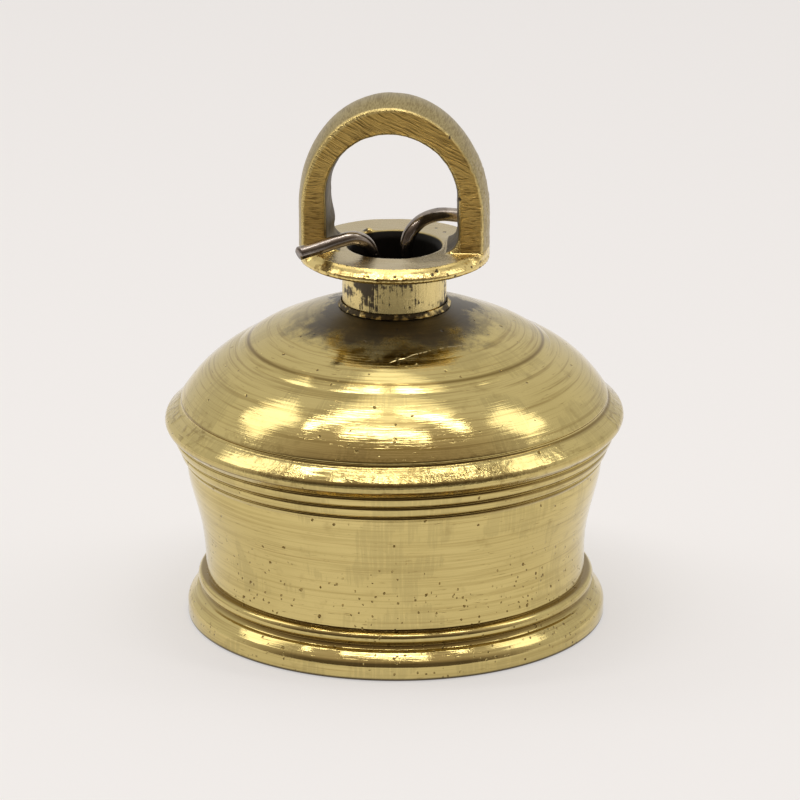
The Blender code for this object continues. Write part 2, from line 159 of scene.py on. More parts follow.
class Graph:
    """The node tree of one material, with the ways that its nodes are added."""

    def __init__(self, tree: bpy.types.NodeTree) -> None:
        """Start from an empty node tree."""
        self.tree = tree
        self.tree.nodes.clear()

    def add(self, kind: str, settings: dict, inputs: dict) -> bpy.types.Node:
        """Add a node.

        Args:
            kind: the node's type.
            settings: its settings, with a ramp's stops under "stops", set first.
            inputs: the values or links of its sockets, by index or name.

        Returns:
            The node.
        """
        made = self.tree.nodes.new(kind)
        for name, value in settings.items():
            if name == "stops":
                self._set_stops(made.color_ramp, value)
            else:
                setattr(made, name, value)
        for key, value in inputs.items():
            if isinstance(value, Signal):
                self.tree.links.new(value.socket, made.inputs[key])
            elif isinstance(value, tuple) and len(value) == 3 and made.inputs[key].type == "RGBA":
                made.inputs[key].default_value = (*value, 1.0)
            else:
                made.inputs[key].default_value = value
        return made

    def node(self, kind: str, settings: dict, inputs: dict, output: int | str = 0) -> Signal:
        """Add a node and give one of its outputs.

        Args:
            kind: the node's type.
            settings: its settings.
            inputs: the values or links of its sockets.
            output: the output, by index or name.

        Returns:
            The output's signal.
        """
        return Signal(self, self.add(kind, settings, inputs).outputs[output])

    @staticmethod
    def _set_stops(ramp: bpy.types.ColorRamp, stops: list[tuple[float, Colour]]) -> None:
        """Give a colour ramp its stops.

        Args:
            ramp: the ramp.
            stops: positions and colours.
        """
        while len(ramp.elements) < len(stops):
            ramp.elements.new(1.0)
        for element, (position, colour) in zip(ramp.elements, stops):
            element.position = position
            element.color = (*colour, 1.0)

    def mix(self, factor: Signal | float, first: Signal | Colour, second: Signal | Colour,
            blend: str = "MIX") -> Signal:
        """Mix two colours.

        Args:
            factor: share of the second colour.
            first: the colour at 0.
            second: the colour at 1.
            blend: the Mix node's blend type.

        Returns:
            The mixed colour.
        """
        settings = {"data_type": "RGBA", "blend_type": blend, "clamp_factor": True}
        return self.node("ShaderNodeMix", settings, {0: factor, 6: first, 7: second}, 2)

    def vector(self, x: Signal | float, y: Signal | float, z: Signal | float) -> Signal:
        """A vector from three values."""
        return self.node("ShaderNodeCombineXYZ", {}, {0: x, 1: y, 2: z})

    def noise(self, vector: Signal, scale: float, detail: float = 2.0, rough: float = 0.5,
              w: Signal | None = None) -> Signal:
        """Noise from 0 to 1.

        Args:
            vector: where it is read.
            scale: features to one unit.
            detail: octaves above the first.
            rough: strength of each further octave.
            w: a fourth coordinate.

        Returns:
            The noise.
        """
        inputs: dict = {"Vector": vector, "Scale": scale, "Detail": detail, "Roughness": rough}
        if w is not None:
            inputs["W"] = w
        dimensions = "3D" if w is None else "4D"
        return self.node("ShaderNodeTexNoise", {"noise_dimensions": dimensions}, inputs)

    def cells(self, vector: Signal, scale: float, radius: float, share: float) -> Signal:
        """Round spots, one in some of the cells of a Voronoi pattern.

        Args:
            vector: where it is read.
            scale: cells to one unit.
            radius: a spot's radius as a share of a cell.
            share: share of the cells that hold a spot.

        Returns:
            1 in a spot and 0 outside, with a soft edge.
        """
        settings = {"feature": "F1", "voronoi_dimensions": "3D"}
        made = self.add("ShaderNodeTexVoronoi", settings, {"Vector": vector, "Scale": scale})
        distance = Signal(self, made.outputs["Distance"])
        chosen = self.node("ShaderNodeSeparateColor", {}, {0: Signal(self, made.outputs["Color"])})
        spot = distance.step(radius, radius * 0.45)
        return spot * chosen.step(1.0 - share, 1.0 - share + 0.02)


@dataclass(frozen=True)
class Place:
    """Where on the object a shader works, in metres."""

    position: Signal
    x: Signal
    y: Signal
    z: Signal
    radius: Signal
    cosine: Signal
    sine: Signal
    normal_y: Signal
    normal_z: Signal


@dataclass(frozen=True)
class Surface:
    """What a finish gives the shader: colour, roughness, metal share and height in metres."""

    colour: Signal
    roughness: Signal
    height: Signal
    metallic: Signal | None = None


def find_place(graph: Graph) -> Place:
    """Read Object coordinates and work out the polar ones about the bell's axis.

    Args:
        graph: the material's graph.

    Returns:
        The place.
    """
    made = graph.add("ShaderNodeTexCoord", {}, {})
    position = Signal(graph, made.outputs["Object"])
    split = graph.add("ShaderNodeSeparateXYZ", {}, {0: position})
    x, y, z = (Signal(graph, split.outputs[index]) for index in range(3))
    normal = graph.add("ShaderNodeSeparateXYZ", {}, {0: Signal(graph, made.outputs["Normal"])})
    radius = (x * x + y * y).math("SQRT").largest(1e-5)
    return Place(position, x, y, z, radius, x / radius, y / radius,
                 Signal(graph, normal.outputs[1]), Signal(graph, normal.outputs[2]))


def rings(graph: Graph, place: Place, pitch: float, wander: float, detail: float = 2.0) -> Signal:
    """Turned lines that run round the axis.

    Args:
        graph: the material's graph.
        place: where the shader works.
        pitch: distance between lines, in metres.
        wander: how often a line changes on its way round.
        detail: octaves above the first.

    Returns:
        Noise from 0 to 1 that is fine across the lines and slow along them.
    """
    across = graph.vector(place.radius / pitch, place.z / pitch, place.cosine * wander)
    return graph.noise(across, 1.0, detail, 0.6, w=place.sine * wander)


def strokes(graph: Graph, u: Signal, v: Signal, width: float, length: float, seed: float = 0.0) -> Signal:
    """Straight strokes, such as a file or a grinder leaves.

    Args:
        graph: the material's graph.
        u: coordinate across the strokes.
        v: coordinate along them.
        width: width of a stroke, in metres.
        length: length of a stroke, in metres.
        seed: moves the pattern.

    Returns:
        Noise from 0 to 1.
    """
    return graph.noise(graph.vector(u / width, v / length, seed), 1.0, 3.0, 0.6)


def layered(graph: Graph, base: Signal | Colour,
            layers: Iterable[tuple[Signal, Signal | Colour]]) -> Signal:
    """Lay colours over each other.

    Args:
        graph: the material's graph.
        base: the lowest colour.
        layers: masks and colours, from the lowest up.

    Returns:
        The colour on top.
    """
    colour = base
    for mask, paint in layers:
        colour = graph.mix(mask, colour, paint)
    return colour


# ---------------------------------------------------------------- finishes


@dataclass(frozen=True)
class Finish:
    """A metal finish: its shader's constants, and a pattern for what varies over it."""

    name: str
    colour: Colour
    roughness: float
    anisotropic: float = 0.0

    def pattern(self, graph: Graph, place: Place) -> Surface:
        """Work out what varies over the surface."""
        raise NotImplementedError

    def make(self) -> bpy.types.Material:
        """Build the material.

        Returns:
            The material, with its pattern behind a Principled shader.
        """
        material = bpy.data.materials.new(self.name)
        material.use_nodes = True
        graph = Graph(material.node_tree)
        surface = self.pattern(graph, find_place(graph))
        normal = graph.node("ShaderNodeBump", {}, {"Strength": 1.0, "Distance": 1.0,
                                                   "Height": surface.height})
        metallic = 1.0 if surface.metallic is None else surface.metallic
        shader = graph.node("ShaderNodeBsdfPrincipled", {}, {
            "Base Color": surface.colour,
            "Roughness": surface.roughness,
            "Metallic": metallic,
            "Anisotropic": self.anisotropic,
            "Anisotropic Rotation": 0.25,
            "Normal": normal,
        })
        graph.add("ShaderNodeOutputMaterial", {}, {"Surface": shader})
        return material


@dataclass(frozen=True)
class TurnedBrass(Finish):
    """Lathe-turned brass: ring lines, cross scratches, pits, dark lines of tarnish and painted shade, and
    painted shade by the neck.
    """

    tarnish_and_shade: Colour = (0.20, 0.125, 0.030)
    painted_shade: Colour = (0.036, 0.028, 0.025)
    pale: Colour = (0.72, 0.58, 0.24)
    aged: Colour = (0.52, 0.41, 0.155)
    streaked: Colour = (0.38, 0.27, 0.09)
    hairline: Colour = (0.34, 0.23, 0.07)
    rubbed: Colour = (0.40, 0.32, 0.13)
    dash: Colour = (0.24, 0.155, 0.045)
    bare: Colour = (0.95, 0.82, 0.50)
    grooves: tuple[Span, ...] = ()
    neck_radius: float = 0.0113
    top: float = 0.0702
    bead_height: float = 0.0451
    foot_radius: float = 0.0457
    neck_shade_left: Span = (0.0064, 0.0030)
    neck_shade_right: Span = (0.0092, 0.0046)
    neck_shade_ring: Span = (0.0150, 0.0060)
    pitted_wall: Span = (0.031, 0.018)
    scratch_run: tuple[float, float] = (0.858, 0.513)
    scratch_offset: float = 0.0229
    scratch_width: float = 0.00022
    scratch_start: Span = (-0.0150, -0.0120)
    scratch_end: Span = (0.0062, 0.0045)
    beaten_belt: Span = (0.0018, 0.0068)
    fine_pitch: float = 0.00034
    line_pitch: float = 0.00085
    coarse_pitch: float = 0.0034
    dash_pitch: float = 0.00040
    fine_depth: float = 0.000018
    line_depth: float = 0.00004
    coarse_depth: float = 0.00006
    brush_depth: float = 0.000012
    dent_depth: float = 0.00016
    dash_depth: float = 0.000012
    pit_depth: float = 0.00012
    scratch_depth: float = 0.00004

    def neck_shade_mask(self, graph: Graph, place: Place) -> Signal:
        """Painted shade: ragged dark patches on the dome at the neck's left and right, thinner in front,
        standing in for the dark reflection and shade of the neck and disc.

        Args:
            graph: the material's graph.
            place: where the shader works.

        Returns:
            1 in the painted shade and 0 outside.
        """
        ragged = graph.noise(place.position, 330.0, 5.0, 0.7)
        blotch = graph.noise(place.position, 150.0, 2.0)
        reach = place.radius + (ragged - 0.5) * 0.013 + (blotch - 0.5) * 0.014
        left, right, ring = (
            reach.step(self.neck_radius + outer, self.neck_radius + inner)
            for outer, inner in (self.neck_shade_left, self.neck_shade_right, self.neck_shade_ring))
        rightward = place.cosine.step(-0.2, 0.6)
        sideways = place.cosine.size().step(0.45, 0.90)
        sides = (left * (1 - rightward) + right * rightward) * sideways
        ring = ring * (1 - place.sine.step(-0.6, 0.2) * 0.6)
        return sides.largest(ring) * place.z.step(self.top - 0.006, self.top - 0.004)

    def pit_mask(self, graph: Graph, place: Place, patches: Signal) -> Signal:
        """Casting pits: a few all over, and a scatter of small ones low on the wall.

        Args:
            graph: the material's graph.
            place: where the shader works.
            patches: broad noise that gathers the low pits.

        Returns:
            1 in a pit and 0 outside.
        """
        shake = (graph.noise(place.position, 900.0, 2.0) - 0.5) * 0.0011
        shaken = graph.vector(place.x + shake, place.y - shake, place.z + shake * 0.6)
        low_wall = place.z.step(*self.pitted_wall) * patches.step(0.40, 0.52)
        pits = graph.cells(shaken, 300.0, 0.16, 0.055)
        small = graph.cells(shaken, 620.0, 0.24, 0.07)
        low = graph.cells(shaken, 520.0, 0.22, 0.13) * low_wall
        tiny = graph.cells(shaken, 1100.0, 0.34, 0.18) * low_wall
        return pits.largest(small).largest(low).largest(tiny * 0.8)

    def scratch_mask(self, graph: Graph, place: Place) -> Signal:
        """A long fine scratch across the front of the cap.

        Args:
            graph: the material's graph.
            place: where the shader works.

        Returns:
            1 in the scratch and 0 outside.
        """
        run_x, run_y = self.scratch_run
        wander = (graph.noise(place.position, 160.0, 2.0) - 0.5) * 0.0016
        across = place.y * run_x - place.x * run_y + self.scratch_offset + wander
        along = place.x * run_x + place.y * run_y
        span = along.step(*self.scratch_start) * along.step(*self.scratch_end)
        broken = graph.noise(place.position, 700.0, 1.0).step(0.38, 0.50)
        cap = place.z.step(self.top - 0.009, self.top - 0.007)
        return across.near(0.0, self.scratch_width) * span * broken * cap

    def tarnish_and_shade_mask(self, place: Place) -> Signal:
        """The dark lines: tarnish in the grooves and seams, and painted shade under the bead, in the cove
        and at the rim's bottom edge.

        Args:
            place: where the shader works.

        Returns:
            1 on a dark line and 0 outside.
        """
        lines = [place.z.near(height, width) for height, width in self.grooves]
        deep = lines[0]
        for line in lines[1:]:
            deep = deep.largest(line)
        return deep

    def pattern(self, graph: Graph, place: Place) -> Surface:
        """Work out the turned surface.

        Args:
            graph: the material's graph.
            place: where the shader works.

        Returns:
            The surface.
        """
        fine = rings(graph, place, self.fine_pitch, 1.4, 3.0)
        lines = rings(graph, place, self.line_pitch, 1.1, 4.0)
        coarse = rings(graph, place, self.coarse_pitch, 0.8, 2.0)
        dashes = rings(graph, place, self.dash_pitch, 9.0, 2.0).step(0.64, 0.74)
        patches = graph.noise(place.position, 55.0, 3.0)
        cloud = graph.noise(place.position, 190.0, 3.0, 0.6)
        radial = graph.vector(place.cosine * 70.0, place.sine * 70.0, place.z * 90.0)
        upright = graph.noise(radial, 1.0, 4.0, 0.65)
        brushed = upright * graph.noise(place.position, 75.0, 2.0).step(0.42, 0.58)
        pit = self.pit_mask(graph, place, patches)
        painted_shade = self.neck_shade_mask(graph, place)
        scratch = self.scratch_mask(graph, place)
        belt_height, belt_width = self.beaten_belt
        belt = place.z.near(self.bead_height + belt_height, belt_width)
        beaten = belt * patches.step(0.38, 0.50)
        dented = graph.noise(place.position, 520.0, 3.0, 0.6)
        # Painted shade on the foot ring's lower outer edge, in the same near-black as by the neck.
        foot_edge_shade = place.z.step(0.0008, 0.0003) * 0.85 \
            * place.radius.step(self.foot_radius - 0.0011, self.foot_radius - 0.0007)

        # Tarnish in grooves, seams, clouds, pits and dents, with painted shade under the bead, in the cove
        # and at the rim's bottom edge.
        tarnish_and_shade = (self.tarnish_and_shade_mask(place) * 0.85).largest(cloud.step(0.58, 0.80) * 0.28)
        tarnish_and_shade = tarnish_and_shade.largest(pit * 0.92).largest(beaten * dented.step(0.50, 0.62) * 0.45)
        on_dome = place.z.step(self.bead_height + 0.002, self.bead_height + 0.006)
        layers = (
            (lines.step(0.40, 0.62) * 0.55, self.pale),
            (patches.step(0.40, 0.65) * 0.22, self.aged),
            (lines.step(0.49, 0.36) * (0.30 + on_dome * 0.28), self.streaked),
            (fine.step(0.54, 0.70) * 0.45, self.hairline),
            (brushed.step(0.34, 0.52) * 0.30, self.rubbed),
            (dashes * 0.60, self.dash),
            (scratch * 0.8, self.bare),
            (tarnish_and_shade, self.tarnish_and_shade),
            # painted shade: dark by the neck, and on the foot ring's lower outer edge
            ((painted_shade * 0.90).largest(foot_edge_shade), self.painted_shade),
        )
        rough = self.roughness + (lines - 0.5) * 0.10 + (patches - 0.5) * 0.08 \
            + painted_shade * 0.25 + pit * 0.2 + beaten * 0.05
        height = fine * self.fine_depth + lines * self.line_depth + coarse * self.coarse_depth \
            + brushed * self.brush_depth + beaten * dented * self.dent_depth \
            - dashes * self.dash_depth - pit * self.pit_depth - scratch * self.scratch_depth
        # Less metal in the painted shade, so it reads darker.
        metallic = 1 - painted_shade * 0.55 - foot_edge_shade * 0.4
        return Surface(layered(graph, self.colour, layers), rough.largest(0.05), height, metallic)


@dataclass(frozen=True)
class CrownZones:
    """Masks of the crown's surfaces, each 1 on its own surface and 0 elsewhere."""

    ground: Signal
    skin: Signal
    inside: Signal
    edge: Signal
    bore: Signal
    neck: Signal
    top: Signal
    rim: Signal
    rise: Signal


@dataclass(frozen=True)
class CrownMarks:
    """The marks that tools, heat and wear leave on the crown, with a little painted shade under the disc,
    from 0 to 1.
    """

    cloud: Signal
    grind: Signal
    filed: Signal
    cross: Signal
    swept: Signal
    hammered: Signal
    patina_and_shade: Signal
    pits: Signal


@dataclass(frozen=True)
class CastBrass(Finish):
    """The crown's brass: turned outside, ground front and back, dark as cast inside the loop, with painted
    shade down the bore and painted highlight on the edges.
    """

    dark: Colour = (0.050, 0.040, 0.036)
    patina_and_shade: Colour = (0.055, 0.042, 0.034)
    wear_and_highlight: Colour = (0.88, 0.69, 0.28)
    clouded: Colour = (0.52, 0.38, 0.13)
    lit: Colour = (0.76, 0.52, 0.155)
    shaded: Colour = (0.42, 0.27, 0.085)
    scored: Colour = (0.21, 0.125, 0.035)
    skin_pale: Colour = (0.43, 0.355, 0.18)
    skin_dark: Colour = (0.25, 0.19, 0.085)
    top_pale: Colour = (0.64, 0.55, 0.36)
    top_dark: Colour = (0.52, 0.43, 0.26)
    dinted: Colour = (0.30, 0.19, 0.05)
    neck_bright: Colour = (0.86, 0.70, 0.32)
    neck_filed: Colour = (0.33, 0.24, 0.09)
    bore_shade: Colour = (0.016, 0.013, 0.010)
    disc_top: float = 0.0837
    disc_under: float = 0.0807
    disc_radius: float = 0.0206
    side_top: float = 0.0921
    shoulder: float = 0.0250
    half_depth: float = 0.0065
    half_opening: float = 0.0144
    arch_height: float = 0.0957
    bore: float = 0.0096
    slant_run: tuple[float, float] = (0.891, 0.454)
    slant_stroke: tuple[float, float] = (0.00040, 0.0075)
    level_stroke: tuple[float, float] = (0.00036, 0.0030)
    stain_spot: tuple[Span, Span] = ((-0.0045, 0.0056), (0.0762, 0.0060))
    crust_spot: tuple[Span, Span] = ((-0.0088, 0.0040), (0.0078, 0.0042))
    grind_depth: float = 0.00030
    cross_depth: float = 0.00005
    swept_depth: float = 0.00002
    filed_depth: float = 0.00008
    neck_depth: float = 0.00005
    dint_depth: float = 0.00020
    cast_depth: float = 0.00022
    pit_depth: float = 0.00012

    def ground_strokes(self, graph: Graph, place: Place) -> Signal:
        """The grinder's strokes: long and aslant over the arch, short and level down the legs.

        Args:
            graph: the material's graph.
            place: where the shader works.

        Returns:
            Noise from 0 to 1.
        """
        run_x, run_z = self.slant_run
        bend = (graph.noise(place.position, 160.0) - 0.5) * 0.0010
        slant = strokes(graph, place.x * run_z + place.z * run_x + bend,
                        place.x * run_x - place.z * run_z, *self.slant_stroke)
        wavy = place.z + (graph.noise(place.position, 300.0) - 0.5) * 0.0012
        level = strokes(graph, wavy, place.x, *self.level_stroke, 7.0)
        high = place.z.step(self.disc_top + 0.014, self.disc_top + 0.021)
        return slant * high + level * (1 - high)

    def zones(self, place: Place) -> CrownZones:
        """Tell the crown's surfaces apart.

        Args:
            place: where the shader works.

        Returns:
            The masks of the surfaces.
        """
        loop = place.z.step(self.disc_top + 0.0001, self.disc_top + 0.0006)
        side = place.y.size()
        ground = place.normal_y.size().step(0.75, 0.93) * loop
        lift = (place.z - self.side_top).largest(0.0) / self.shoulder
        reach = place.radius / self.disc_radius
        shape = reach * reach + lift * lift
        outer = shape.step(0.86, 0.95)
        arch = (place.z - self.arch_height).largest(0.0)
        hollow = (place.x * place.x + arch * arch).math("SQRT") - self.half_opening
        rise = place.z.step(self.disc_top + 0.00002, self.disc_top + 0.0002)
        foot = rise * place.x.size().step(self.bore, self.bore + 0.0006) \
            * side.step(self.half_depth - 0.0001, self.half_depth - 0.0005)
        edge = side.step(self.half_depth - 0.00045, self.half_depth - 0.00010) * loop \
            * shape.step(0.935, 0.975).largest(hollow.step(0.00045, 0.00015))
        bore = place.radius.step(self.bore + 0.0013, self.bore + 0.0006) \
            * place.z.step(self.disc_top - 0.00002, self.disc_top - 0.0003)
        neck = place.z.step(self.disc_under + 0.0001, self.disc_under - 0.0004) * (1 - bore)
        top = place.normal_z.step(0.85, 0.97) * (1 - loop)
        rim = place.radius.step(self.disc_radius - 0.0016, self.disc_radius - 0.0008) \
            * (1 - loop) * (1 - top) * (1 - neck)
        return CrownZones(
            ground=ground, skin=loop * outer * (1 - ground), inside=foot * (1 - outer) * (1 - ground),
            edge=edge, bore=bore, neck=neck, top=top, rim=rim, rise=rise)

    def marks(self, graph: Graph, place: Place, zones: CrownZones) -> CrownMarks:
        """Work out the marks on the crown's surfaces.

        Args:
            graph: the material's graph.
            place: where the shader works.
            zones: the masks of the surfaces.

        Returns:
            The marks.
        """
        round_neck = graph.vector(place.cosine * 30.0, place.sine * 30.0, place.z * 130.0)
        filed = graph.noise(round_neck, 1.0, 4.0, 0.7)
        down_neck = graph.vector(place.cosine * 2.2, place.sine * 2.2, place.z * 260.0)
        stain = graph.noise(down_neck, 1.0, 4.0, 0.65)
        across = graph.vector(place.x / 0.0003, place.y / 0.005, place.z / 0.0003)
        (spot_x, spot_width), (spot_z, spot_height) = self.stain_spot
        spot = place.x.near(spot_x, spot_width) * place.z.near(spot_z, spot_height)
        # Painted shade: a little more of the dark patina just under the disc.
        shade_under_disc = place.z.step(self.disc_under - 0.004, self.disc_under)
        blacked = stain * 0.62 + filed * 0.38 + shade_under_disc * 0.05
        rim_pits = graph.cells(place.position, 620.0, 0.30, 0.25) * zones.rim
        return CrownMarks(
            cloud=graph.noise(place.position, 240.0, 4.0, 0.6),
            grind=self.ground_strokes(graph, place),
            filed=filed,
            cross=graph.noise(across, 1.0, 3.0, 0.6),
            swept=strokes(graph, place.y, place.x, 0.00035, 0.010, 3.0),
            hammered=graph.noise(place.position, 520.0, 3.0, 0.6),
            patina_and_shade=zones.neck * (blacked + spot * 0.15).step(0.535, 0.580) * 0.93,
            pits=graph.cells(place.position, 480.0, 0.26, 0.08).largest(rim_pits))

    def tint(self, graph: Graph, place: Place, zones: CrownZones, marks: CrownMarks) -> Signal:
        """Work out the crown's colour.

        Args:
            graph: the material's graph.
            place: where the shader works.
            zones: the masks of the surfaces.
            marks: the marks on them.

        Returns:
            The colour.
        """
        low = place.z.step(0.100, 0.086) * (0.40 + place.x.step(0.0, -0.010) * 0.35)
        lit = graph.mix(low, self.lit, self.shaded)
        ground = graph.mix(marks.grind.step(0.46, 0.64) * 0.85, lit, self.scored)
        skin = graph.mix(marks.cross.step(0.40, 0.65), self.skin_pale, self.skin_dark)
        top = graph.mix(marks.swept.step(0.35, 0.70), self.top_pale, self.top_dark)
        (crust_x, crust_width), (crust_y, crust_depth) = self.crust_spot
        crust = place.x.near(crust_x, crust_width) * place.y.near(crust_y, crust_depth) \
            * marks.cloud.step(0.36, 0.46) * place.z.near(self.disc_top, 0.0025)
        return layered(graph, self.colour, (
            (marks.cloud.step(0.35, 0.75) * 0.35, self.clouded),
            (zones.ground * 0.9, ground),
            (zones.skin * 0.85, skin),
            (zones.top * 0.75, top),
            # Bright ground edges and disc rim: wear, with painted highlight on the rounded edges.
            ((zones.edge * 0.9).largest(zones.rim * 0.8), self.wear_and_highlight),
            (zones.rim * marks.hammered.step(0.55, 0.64) * 0.65, self.dinted),
            (zones.neck * 0.8, self.neck_bright),
            (zones.neck * marks.filed.step(0.50, 0.70) * 0.30, self.neck_filed),
            (marks.patina_and_shade, self.patina_and_shade),
            (marks.pits * 0.9, self.dark),
            (zones.inside * (0.85 + (marks.cloud - 0.5) * 0.4), self.dark),
            (crust.step(0.15, 0.35) * zones.rise * 0.9, self.dark),
            # Painted shade: the bore is painted near-black.
            (zones.bore, self.bore_shade),
        ))

    def pattern(self, graph: Graph, place: Place) -> Surface:
        """Work out the crown's finishes and the wear between them.

        Args:
            graph: the material's graph.
            place: where the shader works.

        Returns:
            The surface.
        """
        zones = self.zones(place)
        marks = self.marks(graph, place, zones)
        rough = self.roughness + (marks.cloud - 0.5) * 0.16 + zones.inside * 0.22 \
            + zones.bore * 0.35 + zones.ground * 0.10 + zones.skin * 0.10 \
            + marks.patina_and_shade * 0.2 - zones.edge * 0.10 - zones.rim * 0.12
        height = zones.ground * marks.grind * self.grind_depth \
            + zones.skin * marks.cross * self.cross_depth \
            + zones.top * marks.swept * self.swept_depth \
            + zones.neck * (marks.filed * self.filed_depth + marks.cloud * self.neck_depth) \
            + zones.rim * marks.hammered * self.dint_depth \
            + zones.inside * marks.cloud * self.cast_depth - marks.pits * self.pit_depth
        metallic = 1 - zones.inside * 0.45 - zones.bore * 0.6 - marks.patina_and_shade * 0.4
        return Surface(self.tint(graph, place, zones, marks), rough.largest(0.12), height,
                       metallic.largest(0.0))


@dataclass(frozen=True)
class RoughBraze(Finish):
    """Braze run in round the neck: bright grains on a darker skin, which is scale and painted shade under
    the neck.
    """

    scale: Colour = (0.045, 0.036, 0.030)
    grain_depth: float = 0.00015

    def pattern(self, graph: Graph, place: Place) -> Surface:
        """Work out the grains and the dark skin between them, which is scale and painted shade.

        Args:
            graph: the material's graph.
            place: where the shader works.

        Returns:
            The surface.
        """
        grain = graph.noise(place.position, 900.0, 3.0, 0.6)
        skin = graph.noise(place.position, 330.0, 3.0).step(0.44, 0.56)
        # The dark skin: scale, and painted shade of the gap under the neck.
        colour = graph.mix(skin * 0.92, self.colour, self.scale)
        return Surface(colour, self.roughness + skin * 0.25, grain * self.grain_depth)


@dataclass(frozen=True)
class DarkIron(Finish):
    """Dark iron with a dull oxide skin, rubbed brighter along its length."""

    rubbed: Colour = (0.58, 0.51, 0.44)
    rust: Colour = (0.16, 0.10, 0.07)
    pitted: Colour = (0.02, 0.018, 0.016)
    cut: Colour = (0.05, 0.03, 0.024)
    end: float = -0.0205
    skin_depth: float = 0.00006
    pit_depth: float = 0.00005

    def pattern(self, graph: Graph, place: Place) -> Surface:
        """Work out the oxide, the rubbed places and the pits.

        Args:
            graph: the material's graph.
            place: where the shader works.

        Returns:
            The surface.
        """
        cloud = graph.noise(place.position, 420.0, 4.0, 0.6)
        patch = graph.noise(place.position, 150.0, 3.0)
        pits = graph.cells(place.position, 900.0, 0.30, 0.12)
        colour = layered(graph, self.colour, (
            (patch.step(0.40, 0.66) * 0.75, self.rubbed),
            (cloud.step(0.55, 0.75) * 0.4, self.rust),
            (pits * 0.7, self.pitted),
            (place.x.step(self.end + 0.0004, self.end) * 0.9, self.cut),
        ))
        rough = self.roughness + (cloud - 0.5) * 0.22
        return Surface(colour, rough.largest(0.15), cloud * self.skin_depth - pits * self.pit_depth)


@dataclass(frozen=True)
class BobBrass(Finish):
    """The striker's brass: coarse turned lines and a belt beaten bright by the wall."""

    dull: Colour = (0.25, 0.17, 0.06)
    struck: Colour = (0.72, 0.56, 0.24)
    belt: float = 0.0165
    belt_width: float = 0.0035
    line_pitch: float = 0.0004
    line_depth: float = 0.00001
    skin_depth: float = 0.00005

    def pattern(self, graph: Graph, place: Place) -> Surface:
        """Work out the turned lines, the dull skin and the struck belt.

        Args:
            graph: the material's graph.
            place: where the shader works.

        Returns:
            The surface.
        """
        lines = rings(graph, place, self.line_pitch, 1.0)
        cloud = graph.noise(place.position, 260.0, 4.0, 0.6)
        struck = place.z.near(self.belt, self.belt_width) * cloud.step(0.35, 0.65)
        colour = layered(graph, self.colour, (
            (cloud.step(0.40, 0.75) * 0.6, self.dull),
            (struck * 0.6, self.struck),
        ))
        rough = self.roughness - struck * 0.15 + (cloud - 0.5) * 0.15
        return Surface(colour, rough, lines * self.line_depth + cloud * self.skin_depth)


# ---------------------------------------------------------------- outlines and meshes


def arc(center: Span, radius: float, start: float, end: float, steps: int) -> Outline:
    """Points (r, z) on a circle.

    Args:
        center: the circle's centre.
        radius: its radius.
        start: angle of the first point, in degrees.
        end: angle of the last point.
        steps: spans between points.

    Returns:
        The points, ends included.
    """
    angles = [math.radians(start + (end - start) * step / steps) for step in range(steps + 1)]
    return [(center[0] + radius * math.cos(a), center[1] + radius * math.sin(a)) for a in angles]


def arc_between(first: Span, last: Span, radius: float, steps: int) -> Outline:
    """Points (r, z) on a circle through two points, bulging up and out.

    Args:
        first: the upper, inner end.
        last: the lower, outer end.
        radius: the circle's radius.
        steps: spans between points.

    Returns:
        The points, ends included.
    """
    half = math.dist(first, last) / 2
    radius = max(radius, half)
    along = ((last[0] - first[0]) / (2 * half), (last[1] - first[1]) / (2 * half))
    depth = math.sqrt(radius ** 2 - half ** 2)
    center = ((first[0] + last[0]) / 2 + along[1] * depth, (first[1] + last[1]) / 2 - along[0] * depth)
    start = math.degrees(math.atan2(first[1] - center[1], first[0] - center[0]))
    end = math.degrees(math.atan2(last[1] - center[1], last[0] - center[0]))
    return arc(center, radius, start, end, steps)


def soften(outline: Outline, radius: float, sharper_than: float = 14.0) -> Outline:
    """Round the sharp corners of an open outline.

    Args:
        outline: the points.
        radius: how far from a corner its rounding starts.
        sharper_than: corners that turn less than this are left, in degrees.

    Returns:
        The rounded outline.
    """
    result = [outline[0]]
    for before, corner, after in zip(outline, outline[1:], outline[2:]):
        one, two = Vector(before) - Vector(corner), Vector(after) - Vector(corner)
        turn = 180.0 - math.degrees(one.angle(two, math.pi))
        if turn < sharper_than:
            result.append(corner)
            continue
        start = Vector(corner) + one.normalized() * min(radius, one.length * 0.45)
        end = Vector(corner) + two.normalized() * min(radius, two.length * 0.45)
        for share in (0.0, 0.33, 0.67, 1.0):
            first, second = start.lerp(Vector(corner), share), Vector(corner).lerp(end, share)
            result.append(tuple(first.lerp(second, share)))
    return result + [outline[-1]]


def spun(outline: Outline, steps: int, closed: bool) -> bmesh.types.BMesh:
    """Turn an outline about the Z axis into a closed solid.

    Args:
        outline: points (r, z).
        steps: steps round the axis.
        closed: whether the outline's last point joins its first.

    Returns:
        The solid, with its doubles merged and its faces outward.
    """
    bm = bmesh.new()
    verts = [bm.verts.new((r, 0.0, z)) for r, z in outline]
    edges = [bm.edges.new(pair) for pair in zip(verts, verts[1:])]
    if closed:
        edges.append(bm.edges.new((verts[-1], verts[0])))
    bmesh.ops.spin(bm, geom=verts + edges, cent=(0.0, 0.0, 0.0), axis=(0.0, 0.0, 1.0),
                   angle=math.tau, steps=steps, use_merge=True)
    bmesh.ops.remove_doubles(bm, verts=bm.verts, dist=TINY)
    bmesh.ops.recalc_face_normals(bm, faces=bm.faces)
    return bm


